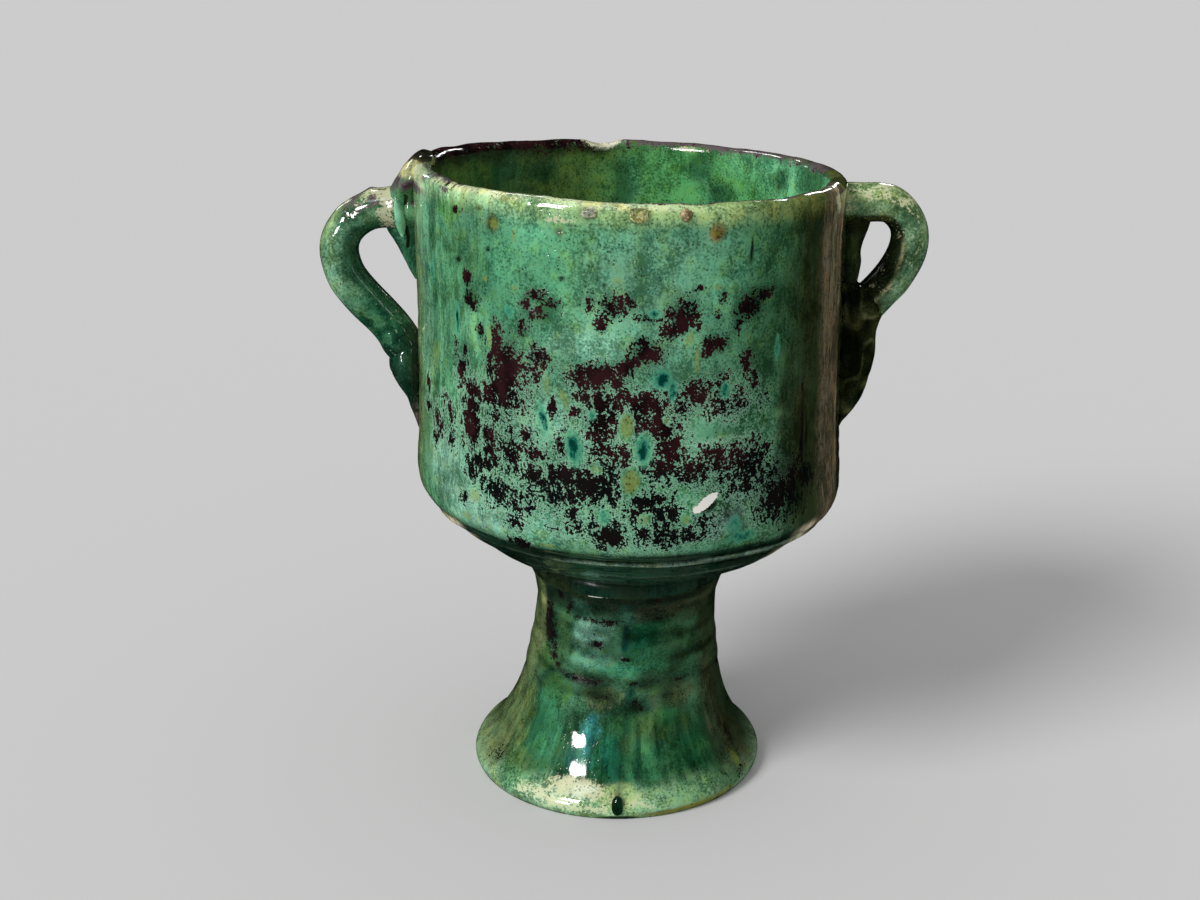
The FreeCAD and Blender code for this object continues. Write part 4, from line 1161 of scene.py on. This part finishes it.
def left_handle_colours(points, share, across, front):
    """Purple and cream marbling on the arm's top, green bend with a yellow outer edge, dark tail, and painted
    shade in the crease at the arm's root and by the coil's end at the wall.
    """
    cloud = lumps(points, 9, 51)
    small = lumps(points, 4, 55)
    top = soft(across, -0.1, 0.4)
    tint = between((84, 126, 94), (116, 160, 126), soft(0.4 + cloud, 0, 1))
    tint = coat(tint, (30, 76, 54), 0.9 * soft(-across + 0.3 * cloud, 0.0, 0.6))
    tint = blend(tint, LIME * 0.8, 0.8 * soft(across, 0.6, 0.95) * soft(0.62 - share, 0, 0.2))
    tint = coat(tint, (46, 100, 70), 0.8 * soft(share, 0.6, 0.72))
    tint = coat(tint, (16, 66, 46), 0.8 * soft(small, -0.1, 0.4) * soft(share, 0.66, 0.74))
    tint = coat(tint, (20, 50, 38), 0.8 * soft(share + 0.05 * small, 0.86, 0.92))
    tint = coat(tint, (80, 132, 92), 0.9 * soft(0.11 - share, 0, 0.01))
    arm = soft(0.37 - share + 0.04 * small, 0, 0.07)
    end = bell(share, 0.175, 0.04) * soft(front + top, -0.4, 0.2)
    cream = -2.4 + 3.4 * end + 2.2 * arm * top * soft(small, -0.3, 0.4) + 0.8 * small
    rust = -2.4 + 2.8 * arm * top - 1.2 * small
    # Painted shade in the crease at the arm's root, and on the inner front of the coil's lower end by the
    # wall.
    root = -2.4 + 3.4 * bell(share, 0.128, 0.014) * soft(front, -0.6, 0.0)
    tail = -1.4 + 1.4 * soft(share, 0.84, 0.9) * soft(front, 0.2, 0.8) * soft(-across, 0.0, 0.5)
    olive = -1.6 + 1.0 * soft(across, 0.7, 1.0) * soft(0.6 - share, 0, 0.1) + 0.8 * small
    return plain_paint(points, tint, cream=cream, rust=rust, shade=np.maximum(root, tail), olive=olive,
                       streak=0.1)


def right_handle_colours(points, share, across, front):
    """Cream and olive on the arm's top, green outside the bend, nearly black inside it as painted shade, with
    a pale painted highlight along the front ridge.
    """
    cloud = lumps(points, 9, 61)
    small = lumps(points, 4, 65)
    top = soft(across, 0.0, 0.5)
    angle = np.degrees(np.arctan2(front, across))
    tint = between((88, 122, 88), (122, 158, 120), soft(0.4 + cloud, 0, 1))
    # The inside of the bend painted nearly black: painted shade on the face turned away from the light.
    edge = 0.1 - 0.35 * soft(share, 0.42, 0.6)
    tint = coat(tint, (30, 34, 18), 0.95 * soft(-across + 0.1 * small, edge + 0.3, edge + 0.5))
    tint = blend(tint, LIME * 0.9, 0.85 * soft(0.42 - share, 0, 0.12) * top)
    tint = coat(tint, (34, 40, 22), 0.92 * soft(share + 0.06 * small - 0.12 * across, 0.66, 0.76))
    # A pale line along the bend's front ridge: a painted highlight.
    ridge = right_ridge(share, angle, 5, (0.42, 0.5), 0.9)
    tint = coat(tint, (170, 176, 130), 0.85 * ridge * soft(small, -0.7, 0.1))
    cream = -2.1 + 2.1 * top * soft(0.42 - share, 0, 0.1) + 1.5 * small
    brown = -2.6 + 1.3 * soft(across, 0.75, 1.0) * soft(share, 0.35, 0.45)
    olive = -1.6 + 1.5 * soft(0.36 - share, 0, 0.06) * (1 - top) + 0.4 * small
    # More painted shade on the inside face.
    shade = -1.8 + 1.6 * soft(-across, 0.5, 0.9)
    return plain_paint(points, tint, cream=cream, brown=brown, olive=olive, shade=shade, streak=0.1)


def wall_radius_at(z):
    """The bowl's outer radius at a height, with the lip taken as the wall."""
    outside = BOWL_PROFILE[10:LIP_ROW + 1]
    return np.interp(np.minimum(z - BOWL_Z, LIP_FOOT), outside[:, 1], outside[:, 0])


def make_weld(name, node, turn, shares, foot, height, reach, width, seed, rows, colours, material):
    """Smeared clay: flat-lying ovals up the wall, sunk a little into it, lumpy as fingers left it."""
    knots = []
    for up, inward, outward, wide in shares:
        z = foot + up * height
        wall = wall_radius_at(z)
        knots.append((wall + outward * reach, z, wall - inward * WALL_THICKNESS, wide * width / 2))
    outer, z, inner, half_wide = np.hsplit(smooth(knots, rows), 4)
    angle = np.linspace(0, 2 * math.pi, 72, endpoint=False)[None, :]
    z = z + 0 * angle
    middle = (outer + inner) / 2
    half_deep = (outer - inner) / 2
    plain = np.stack([middle + half_deep * np.cos(angle), half_wide * np.sin(angle), z], axis=-1)
    push = layered(plain, seed, (0.55, 11), (0.3, 5), (0.12, 2.5)) - 0.45
    out = middle + (half_deep + push) * np.cos(angle)
    front = (half_wide + push) * np.sin(angle)
    points = by_the_wall(out, front, z, turn)
    paint = colours(points, z, front, out - wall_radius_at(z))
    paint["wrap"] = np.stack([front, out, z], axis=-1)
    add_piece(name, node, material, points, paint)


def wad_colours(points, z, front, stand):
    """Dark on its top, cream below that, a purple-brown band, then green, with painted shade in the crevice
    beside the flap.
    """
    cloud = lumps(points, 8, 71)
    small = lumps(points, 4, 75)
    tint = blend(LEAF, MINT, soft(0.4 + cloud, 0, 1))
    tint = coat(tint, (40, 96, 70), 0.8 * soft(282 - z, 0, 8))
    tint = coat(tint, (196, 192, 140), 0.9 * soft(z + small, 295, 298))
    tint = coat(tint, (44, 30, 34), 0.9 * soft(z + 2 * small, 303, 305))
    rust = 0.9 + hump(z, 293.5, 3) + 0.8 * small
    top = -1.2 + 1.4 * soft(z, 303, 306) + 0.8 * small - 2 * soft(300 - z, 0, 2)
    # Painted shade in the crevice between the arm's end and the flap.
    crevice_shade = 1.1 + hump(stand - 0.9 * small, 2.9, 0.9) - 4 * soft(264 - z, 0, 3) - 4 * soft(z, 288, 292)
    return plain_paint(points, tint, rust=rust, shade=np.maximum(top, crevice_shade), streak=0.15)


def flap_colours(points):
    """Pale green, darker at its lower end."""
    tint = between((104, 166, 128), (150, 208, 172), soft(lumps(points, 4, 77), -0.4, 0.5))
    return plain_paint(points, tint, shade=-2.2 + 2.0 * soft(272 - points[..., 2], 0, 4))


def left_weld_colours(points, z, front, stand):
    """Dark green, brown at its foot, thin and dark where it meets the wall: thin rust there, and painted
    shade in the crease.
    """
    cloud = lumps(points, 7, 72)
    tint = between((24, 56, 42), (58, 96, 76), soft(0.2 + cloud, 0, 1))
    tint = coat(tint, (92, 66, 54), 0.7 * soft(190 - z, 0, 10))
    rust = -2.0 + 1.4 * soft(3.0 - stand, 0, 2) + 0.8 * cloud
    # Painted shade in the crease where the weld meets the wall.
    shade = -2.2 + 2.4 * soft(4.5 - stand, 0, 3) * soft(z, 186, 196)
    return plain_paint(points, tint, rust=rust, shade=shade, streak=0.3)


def right_root_colours(points, z, front, stand):
    """Olive, pale along its top."""
    tint = between((34, 40, 22), (58, 74, 40), soft(lumps(points, 7, 73), -0.3, 0.9))
    tint = coat(tint, (140, 140, 88), 0.9 * soft(z, 277, 281))
    return plain_paint(points, tint, shade=-1.4 + 1.2 * soft(276 - z, 0, 4), streak=0.3)


def right_weld_colours(points, z, front, stand):
    """Nearly black olive, with paler lines along its folds that are painted highlights."""
    cloud = lumps(points, 6, 74)
    tint = between((22, 26, 14), (50, 56, 30), soft(cloud, -0.4, 0.8))
    folds = np.abs(lumps(points * np.array([1, 1, 0.6]), 9, 78))
    # Pale lines along the folds: painted highlights.
    lines = soft(0.16 - folds, 0, 0.14) * soft(front, -2, 4) * soft(cloud, -0.6, 0.3)
    tint = coat(tint, (112, 116, 76), 0.55 * lines)
    return plain_paint(points, tint, shade=-1.6 + 0.9 * lumps(points, 9, 76), streak=0.2)


def make_handles(material):
    """Both loops, each with its own line, dents and colours."""
    line = handle_line(LEFT_LINE_SHARES, LEFT_REACH, LEFT_THICKNESS, LEFT_ARM_DEPTH, LEFT_DROP, 210)
    make_handle("left_loop", "left_handle", LEFT_TURN, line, LEFT_WIDTH, 52,
                left_swell, left_handle_colours, material)
    line = handle_line(RIGHT_LINE_SHARES, RIGHT_REACH, RIGHT_THICKNESS, RIGHT_ARM_DEPTH, RIGHT_DROP, 190)
    make_handle("right_loop", "right_handle", RIGHT_TURN, line, RIGHT_WIDTH, 62,
                right_swell, right_handle_colours, material)


def make_welds(material):
    """The four smears of clay that hold the handles to the wall."""
    make_weld("left_wad", "left_rim_wad", LEFT_TURN, WAD_SHARES, WAD_FOOT, WAD_HEIGHT,
              LEFT_REACH, WAD_WIDTH, 101, 90, wad_colours, material)
    make_weld("left_tail", "left_lower_weld", LEFT_TURN, LEFT_TAIL_SHARES,
              LEFT_TAIL_FOOT, LEFT_TAIL_HEIGHT, LEFT_REACH, LEFT_TAIL_WIDTH, 111, 70, left_weld_colours,
              material)
    make_weld("right_root", "right_upper_weld", RIGHT_TURN, ROOT_SHARES, ROOT_FOOT,
              ROOT_HEIGHT, RIGHT_REACH, ROOT_WIDTH, 121, 70, right_root_colours, material)
    make_weld("right_tail", "right_lower_weld", RIGHT_TURN, RIGHT_TAIL_SHARES,
              RIGHT_TAIL_FOOT, RIGHT_TAIL_HEIGHT, RIGHT_REACH, RIGHT_TAIL_WIDTH, 131, 110,
              right_weld_colours, material)


def ball_points(centre, radii, seed, rough, squareness=1.0):
    """Points of a lumpy ball, ring by ring; a low squareness makes it a block."""
    up = np.radians(np.linspace(-90, 90, 24)[1:-1])[:, None]
    angle = np.radians(np.linspace(0, 360, 32, endpoint=False))[None, :]
    unit = np.stack([np.cos(up) * np.cos(angle), np.cos(up) * np.sin(angle), np.sin(up) + 0 * angle], axis=-1)
    block = np.sign(unit) * np.abs(unit) ** squareness
    swell = 1 - rough + rough * lumps(unit * 10 + seed, 6, seed)[..., None]
    return np.array(centre) + block * np.array(radii) * swell


def make_flap(material):
    """The loose lap of the wad beside the arm's end, drawn to a point at its top."""
    points = ball_points(FLAP_PLACE, FLAP_RADII, seed=97, rough=0.1)
    x, _, z = FLAP_PLACE
    above = points[..., 2] - z
    taper = 1 - 0.5 * soft(above, 0, FLAP_RADII[2])
    points[..., 0] = x + (points[..., 0] - x) * taper - 0.12 * above
    add_piece("left_flap", "left_rim_wad", material, points, flap_colours(points))


# The three lumps of glaze on the front of the rim: turn, squareness, roughness, level of cream,
# stretch sideways, colour
SCARS = (
    (-10.6, 1.0, 0.25, -0.6, 1.25, (186, 190, 168)),
    (0.9, 0.6, 0.1, -0.6, 1.35, (176, 172, 112)),
    (12.4, 0.9, 0.2, -0.8, 0.95, (150, 134, 100)))


def make_scars(material):
    """The three lumps of glaze that stilts left on the front of the rim."""
    out = WALL_RADIUS - SCAR_RADIUS / 4 - 0.35
    for number, (turn, squareness, rough, cream, wide, colour) in enumerate(SCARS):
        centre = round_axis(turn, out, RIM_Z - SCAR_DEPTH - 0.5)
        centre = centre + np.array([BOWL_X, 0, -RIM_SLOPE * centre[0]])
        radii = SCAR_RADIUS * np.array([wide, 0.97, 0.97])
        points = ball_points(centre, radii, 81 + number, rough, squareness)
        small = lumps(points, 2, 84 + number)
        tint = glaze_colour(*colour) * (1 + 0.4 * small[..., None])
        paint = plain_paint(points, tint, cream=cream + 0.9 * small, rust=-2.0)
        add_piece("scar_%d" % (number + 1), "rim_stilt_scars", material, points, paint)


def make_bead(material):
    """The tear of glaze on the front edge of the foot."""
    radii = (BEAD_WIDTH / 2, BEAD_WIDTH / 2, BEAD_HEIGHT / 2)
    points = ball_points((FOOT_X, -TREAD_RADIUS, BEAD_LIFT), radii, seed=95, rough=0.05)
    tint = blend(DEEP * 0.7, GREEN * 0.6, soft(lumps(points, 4, 96), -0.3, 0.8))
    paint = plain_paint(points, tint, shade=0.1 + 0.5 * lumps(points, 3, 98))
    add_piece("foot_bead", "foot_glaze_bead", material, points, paint)


# The stage, in metres and linear tones
FLOOR_HALF = 40.0
FLOOR_TONE = np.array([0.62, 0.62, 0.62])
ROOM_TONE = 0.52
KEY_PLACE = (-1.26, -0.98, 1.2)
KEY_STRENGTH = 2.35
KEY_SPREAD = 24
CAMERA_PLACE = (-0.0115, -0.769, 0.416)
CAMERA_DOWN = 0.319
CAMERA_LENS = 49.83


def make_floor():
    """A plain pale floor."""
    mesh = bpy.data.meshes.new("floor")
    corners = [(x * FLOOR_HALF, y * FLOOR_HALF, 0) for x, y in ((-1, -1), (1, -1), (1, 1), (-1, 1))]
    mesh.from_pydata(corners, [], [(0, 1, 2, 3)])
    floor = bpy.data.objects.new("floor", mesh)
    bpy.context.scene.collection.objects.link(floor)
    paint = Paint("floor_paper")
    paint.place = paint.node("TexCoord").outputs["Object"]
    faint = paint.mix(paint.noise(0.9), FLOOR_TONE * 0.995, FLOOR_TONE * 1.005)
    paint.put(paint.shader.inputs["Base Color"], faint)
    paint.shader.inputs["Roughness"].default_value = 0.9
    paint.shader.inputs["Specular IOR Level"].default_value = 0
    mesh.materials.append(paint.material)
    floor.visible_glossy = False


def add_lamp(name, kind, place, target, **settings):
    """A lamp at a place, aimed at a target."""
    lamp = bpy.data.lights.new(name, kind)
    for title, value in settings.items():
        setattr(lamp, title, value)
    thing = bpy.data.objects.new(name, lamp)
    thing.location = place
    thing.rotation_euler = (Vector(target) - Vector(place)).to_track_quat("-Z", "Y").to_euler()
    bpy.context.scene.collection.objects.link(thing)
    return thing


# Windows and soft boxes that only show in the gloss: turn and height in degrees as seen from the
# pot, distance, width, height, brightness, colour
REFLECTORS = (
    (-39, 30, 1.2, 0.28, 0.23, 40, (1.0, 1.0, 1.0)),
    (-41, 12.5, 1.2, 0.22, 0.2, 40, (1.0, 1.0, 1.0)),
    (-38, 54, 1.2, 0.30, 0.20, 5, (0.6, 0.85, 1.0)),
    (160, 26, 1.6, 0.16, 0.3, 12, (1.0, 1.0, 1.0)),
    (-162, 48, 1.6, 0.2, 0.16, 16, (1.0, 1.0, 1.0)),
    (-140, 24, 1.6, 0.2, 0.3, 8, (0.85, 0.92, 1.0)))
REFLECTOR_AIM = (0, 0, 0.15)


def make_lights():
    """A broad key from the left front, a grey room, and the windows seen in the gloss."""
    key = add_lamp("key", "SUN", KEY_PLACE, (0, 0, 0), energy=KEY_STRENGTH, angle=math.radians(KEY_SPREAD))
    key.visible_glossy = False
    for number, (turn, up, distance, width, height, bright, colour) in enumerate(REFLECTORS):
        up = math.radians(up)
        place = distance * round_axis(turn, math.cos(up), math.sin(up)) + np.array(REFLECTOR_AIM)
        lamp = add_lamp("window_%d" % (number + 1), "AREA", place, REFLECTOR_AIM, shape="RECTANGLE",
                        size=width, size_y=height, energy=bright * math.pi * width * height, color=colour)
        lamp.visible_diffuse = False
    world = bpy.data.worlds.new("room")
    world.use_nodes = True
    world.node_tree.nodes["Background"].inputs["Color"].default_value = (ROOM_TONE, ROOM_TONE, ROOM_TONE, 1)
    world.cycles_visibility.glossy = False
    bpy.context.scene.world = world


def make_camera():
    """The photograph's view: from the front, a little above the rim, looking down."""
    camera = bpy.data.cameras.new("camera")
    camera.lens = CAMERA_LENS
    camera.sensor_width = 36
    camera.clip_start = 0.05
    camera.clip_end = 60
    thing = bpy.data.objects.new("camera", camera)
    thing.location = CAMERA_PLACE
    thing.rotation_euler = (math.pi / 2 - CAMERA_DOWN, 0, 0)
    bpy.context.scene.collection.objects.link(thing)
    bpy.context.scene.camera = thing


bpy.context.scene.view_settings.view_transform = "Standard"
glaze = Glaze("copper_glaze", 0.06, 0.5).material
make_bowl(glaze)
make_pedestal(glaze)
make_collar(Glaze("collar_glaze", 0.25, 0.12).material)
make_handles(glaze)
make_welds(glaze)
make_flap(glaze)
make_scars(glaze)
make_bead(glaze)
make_floor()
make_lights()
make_camera()
